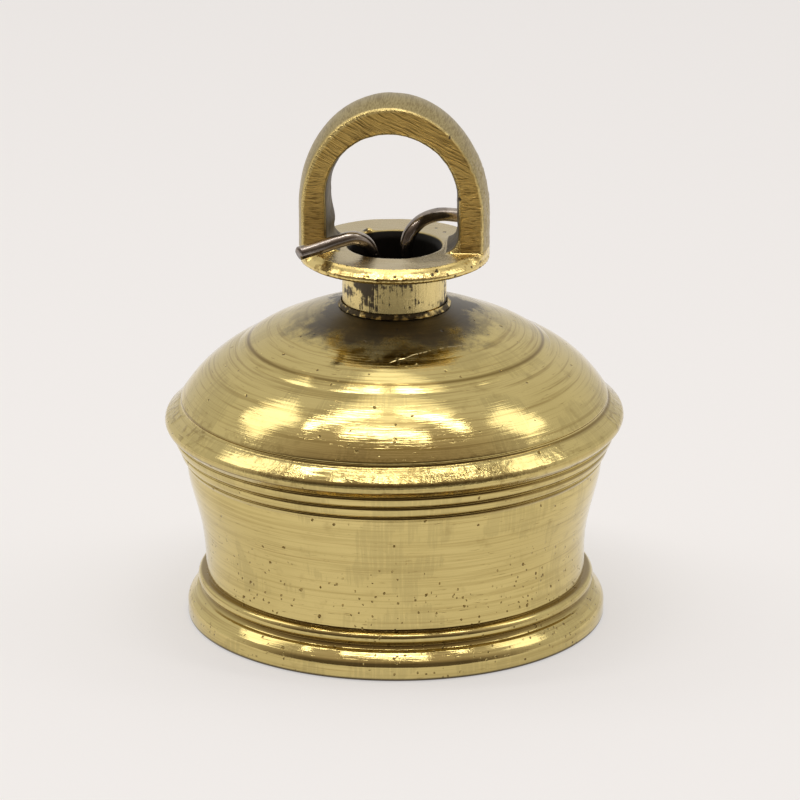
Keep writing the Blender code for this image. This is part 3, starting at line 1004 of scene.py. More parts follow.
def mesh_object(name: str, bm: bmesh.types.BMesh) -> bpy.types.Object:
    """Turn a bmesh into a smooth-shaded object of the scene.

    Args:
        name: the object's name.
        bm: the mesh, which is freed.

    Returns:
        The object.
    """
    mesh = bpy.data.meshes.new(name)
    for face in bm.faces:
        face.smooth = True
    bm.to_mesh(mesh)
    bm.free()
    item = bpy.data.objects.new(name, mesh)
    bpy.context.scene.collection.objects.link(item)
    return item


def settle(item: bpy.types.Object) -> None:
    """Apply an object's modifiers to its mesh.

    Args:
        item: the object.
    """
    graph = bpy.context.evaluated_depsgraph_get()
    mesh = bpy.data.meshes.new_from_object(item.evaluated_get(graph))
    item.modifiers.clear()
    item.data = mesh
    for polygon in mesh.polygons:
        polygon.use_smooth = True


def reshape(item: bpy.types.Object, move: Move) -> None:
    """Move a mesh's vertices.

    Args:
        item: the object.
        move: takes the vertices' places and normals and gives their new places.
    """
    mesh = item.data
    places = np.empty(len(mesh.vertices) * 3, np.float32)
    normals = np.empty(len(mesh.vertices) * 3, np.float32)
    mesh.vertices.foreach_get("co", places)
    mesh.vertices.foreach_get("normal", normals)
    moved = move(places.reshape(-1, 3).astype(float), normals.reshape(-1, 3).astype(float))
    mesh.vertices.foreach_set("co", moved.astype(np.float32).ravel())
    mesh.update()


def eased(value: np.ndarray, low: float, high: float) -> np.ndarray:
    """Rise smoothly from 0 to 1 between two values, or fall where low is above high.

    Args:
        value: the values.
        low: value at which the result is 0.
        high: value at which the result is 1.

    Returns:
        The eased share.
    """
    share = np.clip((value - low) / (high - low), 0.0, 1.0)
    return share * share * (3.0 - 2.0 * share)


def lumps(places: np.ndarray, pitch: float, seed: float) -> np.ndarray:
    """Smooth noise from about -1 to 1 at many points.

    Args:
        places: the points.
        pitch: distance between lumps, in metres.
        seed: moves the pattern.

    Returns:
        One value for each point.
    """
    scaled = places / pitch + seed
    return np.array([noise.noise(Vector(point)) for point in scaled])


def ripple(pitch: float, seed: float, height: float) -> Move:
    """A move that raises gentle waves on a piece.

    Args:
        pitch: distance between waves, in metres.
        seed: moves the pattern.
        height: their height, in metres.

    Returns:
        The move, for reshape.
    """
    return lambda places, normals: places + normals * (lumps(places, pitch, seed) * height)[:, None]


def finish_piece(item: bpy.types.Object, finish: Finish, body: Body, slot: Slot, *nodes: str) -> None:
    """Dress a piece and tell the frame what it stands for.

    Args:
        item: the piece.
        finish: its finish.
        body: the body that it rides on.
        slot: the record's slot for its finish; not used.
        nodes: the CAD nodes that it replaces.
    """
    item.data.materials.clear()
    item.data.materials.append(finish.make())
    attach(item, body.value)
    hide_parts(*nodes)
    LOG.info("%s: %d faces, %s", item.name, len(item.data.polygons), finish.name)


# ---------------------------------------------------------------- the bell's pieces


@dataclass
class BellShell:
    """The turned shell: capped dome, shoulder bead, three grooves, waisted wall and foot ring."""

    radius: float
    height: float
    neck_radius: float = 0.0113
    wall: float = 0.0030
    hole: float = 0.0116
    cap_radius: float = 0.0316
    cap_drop: float = 0.0075
    cap_curve: float = 0.0750
    cap_edge: float = 0.0005
    cap_step: float = 0.0004
    dome_rise: float = 0.0207
    dome_curve: float = 0.0310
    bead: float = 0.0017
    bead_drop: float = 0.0046
    bead_slope: float = 0.0024
    bead_turn: Span = (44.0, -48.0)
    dome_inset: float = 0.0034
    seam: float = 0.0005
    band_drop: float = 0.0091
    band_step: float = 0.0006
    band_flare: float = 0.0034
    groove_pitch: float = 0.0026
    groove_depth: float = 0.0007
    groove_flank: float = 0.0009
    groove_count: int = 3
    groove_start: float = 0.4
    overhang: float = 0.0047
    waist: float = 0.0038
    wall_ease: float = 1.5
    foot_flare: float = 0.0042
    foot_face: float = 0.0026
    foot_bead: float = 0.0026
    foot_slope: float = 0.0014
    cove: float = 0.0070
    small_bead: float = 0.0013
    small_bead_turn: Span = (72.0, -50.0)
    foot_turn: Span = (42.0, 0.0)
    foot_height: float = 0.0098
    rim_edge: float = 0.0004
    corner: float = 0.00022
    mouth_chamfer: float = 0.0005
    steps: int = 300
    tilt: float = 0.011
    lean_start: Span = (0.012, 0.040)
    foot_shift: float = 0.00035
    shift_fade: Span = (0.022, 0.004)

    @property
    def dome_foot(self) -> float:
        """Height of the dome's foot."""
        return self.height - self.dome_rise

    @property
    def bead_height(self) -> float:
        """Height of the shoulder bead's centre."""
        return self.dome_foot - self.bead_drop

    @property
    def wall_top(self) -> float:
        """Height of the wall's top."""
        return self.bead_height - self.band_drop

    @property
    def wall_top_radius(self) -> float:
        """Radius of the wall's top."""
        return self.radius - self.overhang

    @property
    def waist_radius(self) -> float:
        """Radius of the waist."""
        return self.wall_top_radius - self.waist

    @property
    def dome_foot_radius(self) -> float:
        """Radius of the dome's foot."""
        return self.radius - self.dome_inset

    @property
    def foot_radius(self) -> float:
        """Radius of the foot ring."""
        return self.waist_radius + self.foot_flare

    def groove_height(self, index: int) -> float:
        """Height of one of the three turned grooves, from the lowest."""
        return self.wall_top + (index + self.groove_start) * self.groove_pitch

    def grooves(self) -> tuple[Span, ...]:
        """Heights and half widths of the dark lines, from the cap's edge down to the rim: tarnish in the
        grooves and seams, and painted shade under the bead, in the cove and at the rim's bottom edge.

        Returns:
            One pair for each line.
        """
        return (
            (self.height - self.cap_drop - self.cap_edge, 0.00045),
            (self.dome_foot - self.seam, 0.00050),
            # Painted shade under the bead.
            (self.bead_height - 0.0013, 0.00032),
            *((self.groove_height(index), 0.00050) for index in range(self.groove_count)),
            (self.foot_height, 0.00035),
            # Painted shade in the cove and at the rim's bottom edge.
            (self.cove, 0.0014),
            (0.0, 0.0007),
        )

    def dome(self) -> Outline:
        """The cap, the step at its edge, and the lower dome.

        Returns:
            The points (r, z).
        """
        edge = (self.cap_radius - self.cap_edge, self.height - self.cap_drop)
        step_top = edge[1] - self.cap_edge
        foot = (self.cap_radius, step_top - self.cap_step)
        points = arc_between((self.hole, self.height), edge, self.cap_curve, 26)
        points.append((self.cap_radius - 0.00015, step_top))
        dome_foot = (self.dome_foot_radius, self.dome_foot)
        return points + arc_between(foot, dome_foot, self.dome_curve, 34)

    def shoulder(self) -> Outline:
        """The seam, the shoulder bead and the banded flank.

        Returns:
            The points (r, z).
        """
        bead = arc((self.radius - self.bead, self.bead_height), self.bead, *self.bead_turn, 18)
        slope_r, slope_z = bead[0]
        points = [
            (self.dome_foot_radius - self.seam / 2, self.dome_foot - self.seam),
            (slope_r - self.bead_slope - self.seam, slope_z + self.bead_slope),
            (slope_r - self.bead_slope, slope_z + self.bead_slope * 0.9),
            *bead,
        ]
        for index in reversed(range(self.groove_count)):
            flare = self.band_flare * (index + 0.3) / self.groove_count
            ridge = self.wall_top_radius + self.band_step + flare
            height = self.groove_height(index)
            points += [
                (ridge + self.groove_depth / 2, height + self.groove_flank),
                (ridge - self.groove_depth, height),
                (ridge - self.band_step / 2, height - self.groove_flank / 4),
            ]
        return points

    def wall_curve(self, outset: float, bottom: float, steps: int) -> Outline:
        """The wall's curve from its top down to the waist.

        Args:
            outset: how far the curve stands out from the wall's outside.
            bottom: height of the curve's lower end.
            steps: spans between points.

        Returns:
            The points.
        """
        points = []
        for step in range(steps + 1):
            share = (1 - step / steps) ** self.wall_ease
            rise = share * share * (3 - 2 * share)
            height = self.wall_top + (bottom - self.wall_top) * step / steps
            points.append((self.waist_radius + outset + self.waist * rise, height))
        return points

    def foot(self) -> Outline:
        """The groove under the wall, the thin bead, the cove and the foot ring.

        Returns:
            The points (r, z).
        """
        ring = arc((self.foot_radius - self.foot_bead, self.foot_face), self.foot_bead, *self.foot_turn, 10)
        slope_r, slope_z = ring[0][0] - self.foot_slope, ring[0][1] + self.foot_slope * 1.04
        small = (self.waist_radius + self.small_bead * 0.4, self.foot_height - self.small_bead)
        edge = (self.foot_radius - self.rim_edge, self.rim_edge)
        return [
            (self.waist_radius - self.small_bead / 8, self.foot_height),
            *arc(small, self.small_bead, *self.small_bead_turn, 10),
            (slope_r - self.small_bead * 1.1, self.cove),
            (slope_r - self.small_bead * 0.6, slope_z + self.small_bead * 0.2),
            (slope_r, slope_z),
            *ring,
            *arc(edge, self.rim_edge, 0, -90, 5),
        ]

    def inside(self) -> Outline:
        """The shell's inside, from the mouth up to the neck hole.

        Returns:
            The points (r, z).
        """
        inner = self.waist_radius - self.wall
        points = [(inner + self.mouth_chamfer, 0.0), (inner, self.mouth_chamfer)]
        points += list(reversed(self.wall_curve(-self.wall, self.foot_height, 16)))
        points.append((self.dome_foot_radius - self.wall, self.bead_height))
        under_foot = (self.dome_foot_radius - self.wall, self.dome_foot - self.wall / 2)
        under_top = (self.hole, self.height - self.wall)
        return points + list(reversed(arc_between(under_top, under_foot, self.dome_curve, 22)))

    def hand_made(self, places: np.ndarray, normals: np.ndarray) -> np.ndarray:
        """Give the shell the lean and the slight run-out of a hand-turned casting.

        Args:
            places: the vertices' places.
            normals: their normals, which this move doesn't need.

        Returns:
            The new places.
        """
        x, y, z = places.T
        wall_share = eased(z, *self.lean_start)
        dome_share = eased(z, self.height - 0.002, self.height - 0.014)
        leaned = z + x * self.tilt * wall_share * dome_share
        shifted = x + self.foot_shift * eased(leaned, *self.shift_fade)
        return np.stack((shifted, y, leaned), axis=1)

    def build(self) -> bpy.types.Object:
        """Build the shell and dress it.

        Returns:
            The piece.
        """
        wall = self.wall_curve(0.0, self.foot_height + self.small_bead / 4, 44)
        outside = self.dome() + self.shoulder() + wall + self.foot()
        outline = soften(outside, self.corner) + self.inside()
        item = mesh_object("bell_shell_fine", spun(outline, self.steps, closed=True))
        reshape(item, self.hand_made)
        finish = TurnedBrass(
            "turned_brass", colour=(0.66, 0.535, 0.215), roughness=0.08, anisotropic=0.20,
            grooves=self.grooves(), neck_radius=self.neck_radius, top=self.height,
            bead_height=self.bead_height, foot_radius=self.foot_radius)
        finish_piece(item, finish, Body.BELL, Slot.TURNED_BRASS, "bell_shell")
        return item


@dataclass(frozen=True)
class Lump:
    """One round lump of the casting, or a dimple where its height is below 0."""

    center: tuple[float, float, float]
    radius: float
    height: float


@dataclass
class Crown:
    """The cast crown: neck, disc and hanging loop, turned outside and ground flat front and back."""

    disc_radius: float
    loop_top: float
    neck_end: float
    half_depth: float = 0.0065
    neck_radius: float = 0.0113
    bore: float = 0.0096
    disc_under: float = 0.0807
    disc_top: float = 0.0837
    lip: float = 0.0009
    line: float = 0.0004
    flare: float = 0.0007
    shoulder: float = 0.0250
    crown: float = 0.0070
    leg: float = 0.0062
    leg_flare: float = 0.0045
    foot_gap: float = 0.0003
    margin: float = 0.0020
    voxel: float = 0.00033
    smoothing: int = 4
    facing: float = 0.96
    bulge: float = 0.0007
    nick_depth: float = 0.00012
    nicked_side: Span = (0.0150, 0.0175)
    nicked_height: Span = (0.1080, 0.1040)
    rough_height: float = 0.00010
    rough_grain: float = 0.00004
    soft_height: float = 0.00007
    soft_grain: float = 0.000015
    rim_round: float = 0.0018
    rim_slope: float = 1.1
    rim_fade: Span = (0.0002, 0.0035)
    lean: float = 0.0006
    lumps: tuple[Lump, ...] = (
        Lump((-0.0062, 0.0092, 0.0838), 0.0009, 0.0008),
        Lump((0.0007, 0.0046, 0.1165), 0.0007, -0.0004),
        Lump((0.0017, 0.0046, 0.1164), 0.0006, -0.0004),
        Lump((0.0054, -0.0099, 0.0751), 0.0005, -0.0003),
        Lump((-0.0146, 0.0030, 0.0880), 0.0036, 0.0009),
        Lump((0.0146, 0.0034, 0.0860), 0.0028, 0.0006),
    )

    @property
    def half_opening(self) -> float:
        """Half the opening's width."""
        return self.disc_radius - self.leg

    @property
    def arch_height(self) -> float:
        """Height of the centre of the opening's round top."""
        return self.loop_top - self.crown - self.half_opening

    @property
    def side_top(self) -> float:
        """Height at which the loop's outside starts to curve in."""
        return self.loop_top - self.shoulder

    def blank(self) -> bmesh.types.BMesh:
        """The turned blank, before the loop is cut out of it.

        Returns:
            The solid.
        """
        points = [(r * self.disc_radius, self.side_top + z * self.shoulder)
                  for r, z in arc((0.0, 0.0), 1.0, 90, 0, 60)]
        points[0] = (0.0, self.loop_top)
        lip = self.disc_under + self.lip
        points += [
            (self.disc_radius, lip + 2 * self.line),
            (self.disc_radius - self.line, lip + self.line / 2),
            (self.disc_radius - self.line / 2, lip),
            (self.disc_radius - self.line / 2, self.disc_under + self.lip / 3),
            (self.disc_radius - self.lip / 2, self.disc_under),
            (self.neck_radius, self.disc_under),
            (self.neck_radius, self.neck_end),
            (0.0, self.neck_end),
        ]
        return spun(points, 160, closed=False)

    def bore_cutter(self) -> bmesh.types.BMesh:
        """The neck's bore, opening a little at the disc's top.

        Returns:
            The solid.
        """
        points = [
            (0.0, self.disc_top + self.margin),
            (self.bore + self.flare, self.disc_top + self.margin),
            (self.bore + self.flare, self.disc_top - self.flare / 2),
            (self.bore, self.disc_top - 2 * self.flare),
            (self.bore, self.neck_end - self.margin),
            (0.0, self.neck_end - self.margin),
        ]
        return spun(points, 96, closed=False)

    def side_cutters(self) -> bmesh.types.BMesh:
        """Two blocks that trim the blank to the loop's flat front and back.

        Returns:
            The solid.
        """
        bm = bmesh.new()
        height = self.loop_top - self.disc_top + self.margin
        depth = self.disc_radius + self.margin - self.half_depth
        for side in (-1, 1):
            center = Vector((0.0, side * (self.half_depth + depth / 2), self.disc_top + height / 2))
            size = Matrix.Diagonal((2 * (self.disc_radius + self.margin), depth, height, 1.0))
            bmesh.ops.create_cube(bm, size=1.0, matrix=Matrix.Translation(center) @ size)
        return bm

    def opening_cutter(self) -> bmesh.types.BMesh:
        """A prism of the opening's outline: flared feet, upright sides and a round top.

        Returns:
            The solid.
        """
        foot = self.bore + self.flare + self.foot_gap
        width = max(self.half_opening - foot, self.foot_gap)
        turns = arc((0.0, 0.0), 1.0, 0, 90, 9)
        fillet = [(foot + width * rise, self.disc_top + self.leg_flare * (1 - run)) for run, rise in turns]
        right = fillet + arc((0.0, self.arch_height), self.half_opening, 0, 90, 30)
        outline = right + [(-x, z) for x, z in reversed(right[:-1])]
        bm = bmesh.new()
        front = -self.half_depth - self.margin
        face = bm.faces.new([bm.verts.new((x, front, z)) for x, z in outline])
        grown = bmesh.ops.extrude_face_region(bm, geom=[face])
        moved = [part for part in grown["geom"] if isinstance(part, bmesh.types.BMVert)]
        bmesh.ops.translate(bm, verts=moved, vec=(0.0, -2 * front, 0.0))
        bmesh.ops.recalc_face_normals(bm, faces=bm.faces)
        return bm

    def carve(self) -> bpy.types.Object:
        """Cut the blank and remesh it evenly.

        Returns:
            The crown with softly rounded edges.
        """
        item = mesh_object("crown_casting_fine", self.blank())
        cutters = [mesh_object("cutter", bm) for bm in
                   (self.side_cutters(), self.opening_cutter(), self.bore_cutter())]
        for cutter in cutters:
            boolean = item.modifiers.new("Cut", "BOOLEAN")
            boolean.operation = "DIFFERENCE"
            boolean.solver = "EXACT"
            boolean.object = cutter
        remesh = item.modifiers.new("Even", "REMESH")
        remesh.mode = "VOXEL"
        remesh.voxel_size = self.voxel
        settle(item)
        for cutter in cutters:
            bpy.data.objects.remove(cutter, do_unlink=True)
        bm = bmesh.new()
        bm.from_mesh(item.data)
        for _ in range(self.smoothing):
            bmesh.ops.smooth_vert(bm, verts=bm.verts, factor=0.5,
                                  use_axis_x=True, use_axis_y=True, use_axis_z=True)
        bm.to_mesh(item.data)
        bm.free()
        return item

    def true_up(self, places: np.ndarray, normals: np.ndarray) -> np.ndarray:
        """Bring the vertices of each turned or ground face exactly onto it.

        Args:
            places: the vertices' places.
            normals: their normals.

        Returns:
            The new places.
        """
        near = self.voxel
        x, y, z = places.T
        reach = np.hypot(x, y)
        outward = (normals[:, 0] * x + normals[:, 1] * y) / np.maximum(reach, TINY)
        above = z > self.disc_top + near
        upright = np.abs(normals[:, 1]) > self.facing
        flat = above & upright & (np.abs(np.abs(y) - self.half_depth) < near)
        y[flat] = np.sign(y[flat]) * self.half_depth
        for level in (self.disc_top, self.disc_under):
            level_face = np.abs(normals[:, 2]) > self.facing
            lying = level_face & (np.abs(z - level) < near) & (reach > self.bore)
            z[lying] = level
        for radius, sign in ((self.neck_radius, 1), (self.bore, -1), (self.disc_radius, 1)):
            facing = outward * sign > self.facing
            round_face = facing & (np.abs(reach - radius) < near) & (z < self.side_top)
            scale = radius / np.maximum(reach, TINY)
            x[round_face] *= scale[round_face]
            y[round_face] *= scale[round_face]
        lift = np.maximum(z - self.side_top, 0.0)
        size = np.hypot(reach / self.disc_radius, lift / self.shoulder)
        skin = (z > self.side_top) & (np.abs(size - 1) * self.disc_radius < near) \
            & (outward + normals[:, 2] > 0.9) & (np.abs(y) < self.half_depth - near)
        x[skin] /= size[skin]
        y[skin] /= size[skin]
        z[skin] = self.side_top + lift[skin] / size[skin]
        return np.stack((x, y, z), axis=1)

    def round_rim(self, places: np.ndarray, normals: np.ndarray) -> np.ndarray:
        """Round the disc's top edge where the loop doesn't stand on it.

        Args:
            places: the vertices' places.
            normals: their normals, which this move doesn't need.

        Returns:
            The new places.
        """
        x, y, z = places.T
        reach = np.hypot(x, y)
        start, end = self.rim_fade
        away = eased(np.abs(y), self.half_depth + start, self.half_depth + end)
        size = self.rim_round * away + TINY
        up = np.clip((z - (self.disc_top - size)) / size, 0.0, 1.0)
        limit = self.disc_radius - size * self.rim_slope * up
        trimmed = (reach > limit) & (z < self.disc_top + 0.0003) & (up > 0)
        scale = np.where(trimmed, limit / np.maximum(reach, TINY), 1.0)
        return np.stack((x * scale, y * scale, z), axis=1)

    def weather(self, places: np.ndarray, normals: np.ndarray) -> np.ndarray:
        """Give the casting its bulged inner faces, lumps, nicks and lean.

        Args:
            places: the vertices' places.
            normals: their normals.

        Returns:
            The new places.
        """
        x, y, z = places.T
        lift = np.maximum(z - self.side_top, 0.0)
        size = np.hypot(np.hypot(x, y) / self.disc_radius, lift / self.shoulder)
        inner = eased(size, 0.90, 0.82) * eased(z, self.disc_top + 0.001, self.disc_top + 0.006)
        inner *= eased(np.abs(normals[:, 1]), 0.6, 0.2)
        belly = 1.0 - np.clip(np.abs(y) / self.half_depth, 0.0, 1.0) ** 2
        fine = lumps(places, 0.0009, 9.0)
        rough = lumps(places, 0.0021, 3.0) * self.rough_height + fine * self.rough_grain
        soft = lumps(places, 0.0045, 5.0) * self.soft_height + fine * self.soft_grain
        above_disc = eased(z, self.disc_top - 0.001, self.disc_top + 0.001)
        nicked = eased(x, *self.nicked_side) * eased(z, *self.nicked_height) * above_disc
        push = inner * (belly * self.bulge + rough) \
            + (1 - inner) * (soft + nicked * fine * self.nick_depth)
        for lump in self.lumps:
            away = np.linalg.norm(places - np.array(lump.center), axis=1)
            push += lump.height * np.exp(-(away / lump.radius) ** 2)
        fixed = eased(z, self.disc_under - 0.001, self.disc_under - 0.0002)
        moved = places + normals * (push * fixed)[:, None]
        moved[:, 0] -= self.lean * eased(z, self.side_top - 0.004, self.loop_top)
        return moved

    def build(self) -> bpy.types.Object:
        """Build the crown and dress it.

        Returns:
            The piece.
        """
        item = self.carve()
        reshape(item, self.true_up)
        reshape(item, self.round_rim)
        reshape(item, self.weather)
        finish = CastBrass(
            "cast_brass", colour=(0.64, 0.50, 0.195), roughness=0.27,
            disc_top=self.disc_top, disc_under=self.disc_under, disc_radius=self.disc_radius,
            side_top=self.side_top, shoulder=self.shoulder, half_depth=self.half_depth,
            half_opening=self.half_opening, arch_height=self.arch_height, bore=self.bore)
        finish_piece(item, finish, Body.BELL, Slot.CAST_BRASS, "crown_casting")
        return item


@dataclass
class Braze:
    """The fillet of braze round the neck's foot."""

    low: float
    high: float
    inner: float = 0.0116
    outer: float = 0.0122
    edge: float = 0.0001
    hollow: float = 1.9
    lump_height: float = 0.00030
    grain_height: float = 0.00010

    def run_out(self, places: np.ndarray, normals: np.ndarray) -> np.ndarray:
        """Make the fillet uneven, with small lumps where the metal gathered.

        Args:
            places: the vertices' places.
            normals: their normals.

        Returns:
            The new places.
        """
        grains = lumps(places, 0.0013, 2.0) * self.lump_height \
            + lumps(places, 0.0005, 6.0) * self.grain_height
        outside = eased(np.hypot(places[:, 0], places[:, 1]), self.inner + 0.0001, self.inner + 0.0004)
        top = eased(normals[:, 2], -0.2, 0.2)
        return places + normals * (grains * outside * top)[:, None]

    def build(self) -> bpy.types.Object:
        """Build the fillet and dress it.

        Returns:
            The piece.
        """
        rise = self.high - self.low
        span = self.outer - self.inner
        slope = [(self.inner + span * share, self.low + rise * (1 - share) ** self.hollow + self.edge)
                 for share in (0.10, 0.20, 0.32, 0.46, 0.62, 0.80, 1.0)]
        outline = [
            (self.inner, self.high),
            *slope,
            (self.outer, self.low),
            (self.inner + span * 0.5, self.low + self.edge),
            (self.inner, self.low + 2 * self.edge),
            (self.inner, self.low + rise * 0.6),
        ]
        item = mesh_object("crown_braze_fine", spun(outline, 360, closed=True))
        reshape(item, self.run_out)
        finish = RoughBraze("braze_metal", colour=(0.80, 0.62, 0.26), roughness=0.30)
        finish_piece(item, finish, Body.BELL, Slot.BRAZE, "crown_braze")
        return item


def smooth_path(points: list[Vector], steps: int) -> list[Vector]:
    """Points on a smooth curve through the given ones.

    Args:
        points: the given points.
        steps: points to each span.

    Returns:
        The denser path.
    """
    knots = [points[0], *points, points[-1]]
    path = []
    for first, second, third, fourth in zip(knots, knots[1:], knots[2:], knots[3:]):
        for step in range(steps):
            t = step / steps
            path.append(0.5 * (2 * second + (third - first) * t
                               + (2 * first - 5 * second + 4 * third - fourth) * t ** 2
                               + (3 * second - first - 3 * third + fourth) * t ** 3))
    return path + [points[-1]]


def wire_object(name: str, path: list[Vector], radius: float, around: int) -> bpy.types.Object:
    """Sweep a round wire along a path.

    Args:
        name: the object's name.
        path: points of the wire's centre line.
        radius: the wire's radius.
        around: bevel resolution of its section.

    Returns:
        A closed mesh object.
    """
    curve = bpy.data.curves.new(name, "CURVE")
    curve.dimensions = "3D"
    curve.bevel_depth = radius
    curve.bevel_resolution = around
    curve.use_fill_caps = True
    spline = curve.splines.new("POLY")
    spline.points.add(len(path) - 1)
    for point, place in zip(spline.points, path):
        point.co = (*place, 1.0)
    swept = bpy.data.objects.new(name, curve)
    bpy.context.scene.collection.objects.link(swept)
    graph = bpy.context.evaluated_depsgraph_get()
    mesh = bpy.data.meshes.new_from_object(swept.evaluated_get(graph))
    bpy.data.objects.remove(swept, do_unlink=True)
    bm = bmesh.new()
    bm.from_mesh(mesh)
    bmesh.ops.remove_doubles(bm, verts=bm.verts, dist=TINY)
    bmesh.ops.recalc_face_normals(bm, faces=bm.faces)
    return mesh_object(name, bm)


@dataclass
class HangerWire:
    """The bent iron wire: both ends splayed over the disc, its bight inside the dome."""

    disc_top: float
    radius: float = 0.0015
    angle: float = 36.0
    disc_radius: float = 0.0206
    bore: float = 0.0096
    strand_clearance: float = 0.0018
    lift: float = 0.0019
    front_overhang: float = 0.0038
    back_overhang: float = 0.0008
    bight_radius: float = 0.0048
    neck_end: float = -0.0185
    bight: float = -0.0263
    trim: float = 0.00022
    spans: int = 12
    front_slant: float = 0.16
    back_slant: float = -0.22
    wave_pitch: float = 0.004
    wave_height: float = 0.00005

    def route(self) -> list[Vector]:
        """The wire's centre line in the bell's frame.

        Returns:
            The points, from the front end to the back end.
        """
        lying = self.radius + 0.0003
        strand = self.bore - self.radius - self.strand_clearance
        bend = self.bore + self.radius
        front = [
            (-self.disc_radius - self.front_overhang, 0.0, lying),
            (-self.disc_radius + self.front_overhang * 0.2, -0.0006, lying + self.lift * 0.35),
            (-bend - 0.0040, -0.0014, lying + self.lift * 0.85),
            (-bend, -0.0020, lying + self.lift),
            (-strand - 0.0014, -0.0020, lying - 0.0006),
            (-strand + 0.0002, -0.0018, -0.0045),
            (-self.bight_radius, -0.0006, self.neck_end),
        ]
        bottom = [(r, 0.0, z) for r, z in
                  arc((0.0, self.bight + self.bight_radius), self.bight_radius, 180, 360, 24)]
        back = [
            (self.bight_radius * 0.9, -0.0002, self.neck_end),
            (0.0026, -0.0006, -0.0050),
            (0.0030, -0.0008, 0.0010),
            (0.0060, -0.0006, lying + self.lift * 1.2),
            (0.0108, 0.0000, lying + self.lift * 1.6),
            (0.0160, 0.0002, lying + self.lift * 1.1),
            (self.disc_radius + self.back_overhang, 0.0, lying + self.lift * 0.2),
        ]
        front, bottom, back = ([Vector(point) for point in part] for part in (front, bottom, back))
        path = smooth_path(front + bottom[:1], self.spans)[:-1] + bottom[:-1]
        path += smooth_path(bottom[-1:] + back, self.spans)
        lift = Matrix.Translation((0.0, 0.0, self.disc_top))
        turn = lift @ Matrix.Rotation(math.radians(self.angle), 4, "Z")
        return [turn @ point for point in path]

    def pinch_ends(self, item: bpy.types.Object, path: list[Vector]) -> None:
        """Cut both ends slightly aslant, as cutters leave them.

        Args:
            item: the swept wire.
            path: its centre line.
        """
        bm = bmesh.new()
        bm.from_mesh(item.data)
        ends = ((path[0], path[6], self.front_slant), (path[-1], path[-7], self.back_slant))
        for end, inner, lean in ends:
            along = (end - inner).normalized()
            for side in (-1, 1):
                normal = along + Vector((lean * 0.4, -lean * 0.4, lean * side))
                cut = bmesh.ops.bisect_plane(
                    bm, geom=[*bm.verts, *bm.edges, *bm.faces],
                    plane_co=end - along * self.trim, plane_no=normal.normalized(), clear_outer=True)
                edges = [part for part in cut["geom_cut"] if isinstance(part, bmesh.types.BMEdge)]
                bmesh.ops.holes_fill(bm, edges=edges, sides=0)
        bmesh.ops.recalc_face_normals(bm, faces=bm.faces)
        bm.to_mesh(item.data)
        bm.free()

    def build(self) -> bpy.types.Object:
        """Build the wire and dress it.

        Returns:
            The piece.
        """
        path = self.route()
        item = wire_object("hanger_wire_fine", path, self.radius, 10)
        self.pinch_ends(item, path)
        reshape(item, ripple(self.wave_pitch, 4.0, self.wave_height))
        finish = DarkIron("iron_wire", colour=(0.30, 0.26, 0.23), roughness=0.19)
        finish_piece(item, finish, Body.HANGER, Slot.IRON_WIRE, "hanger_wire")
        return item


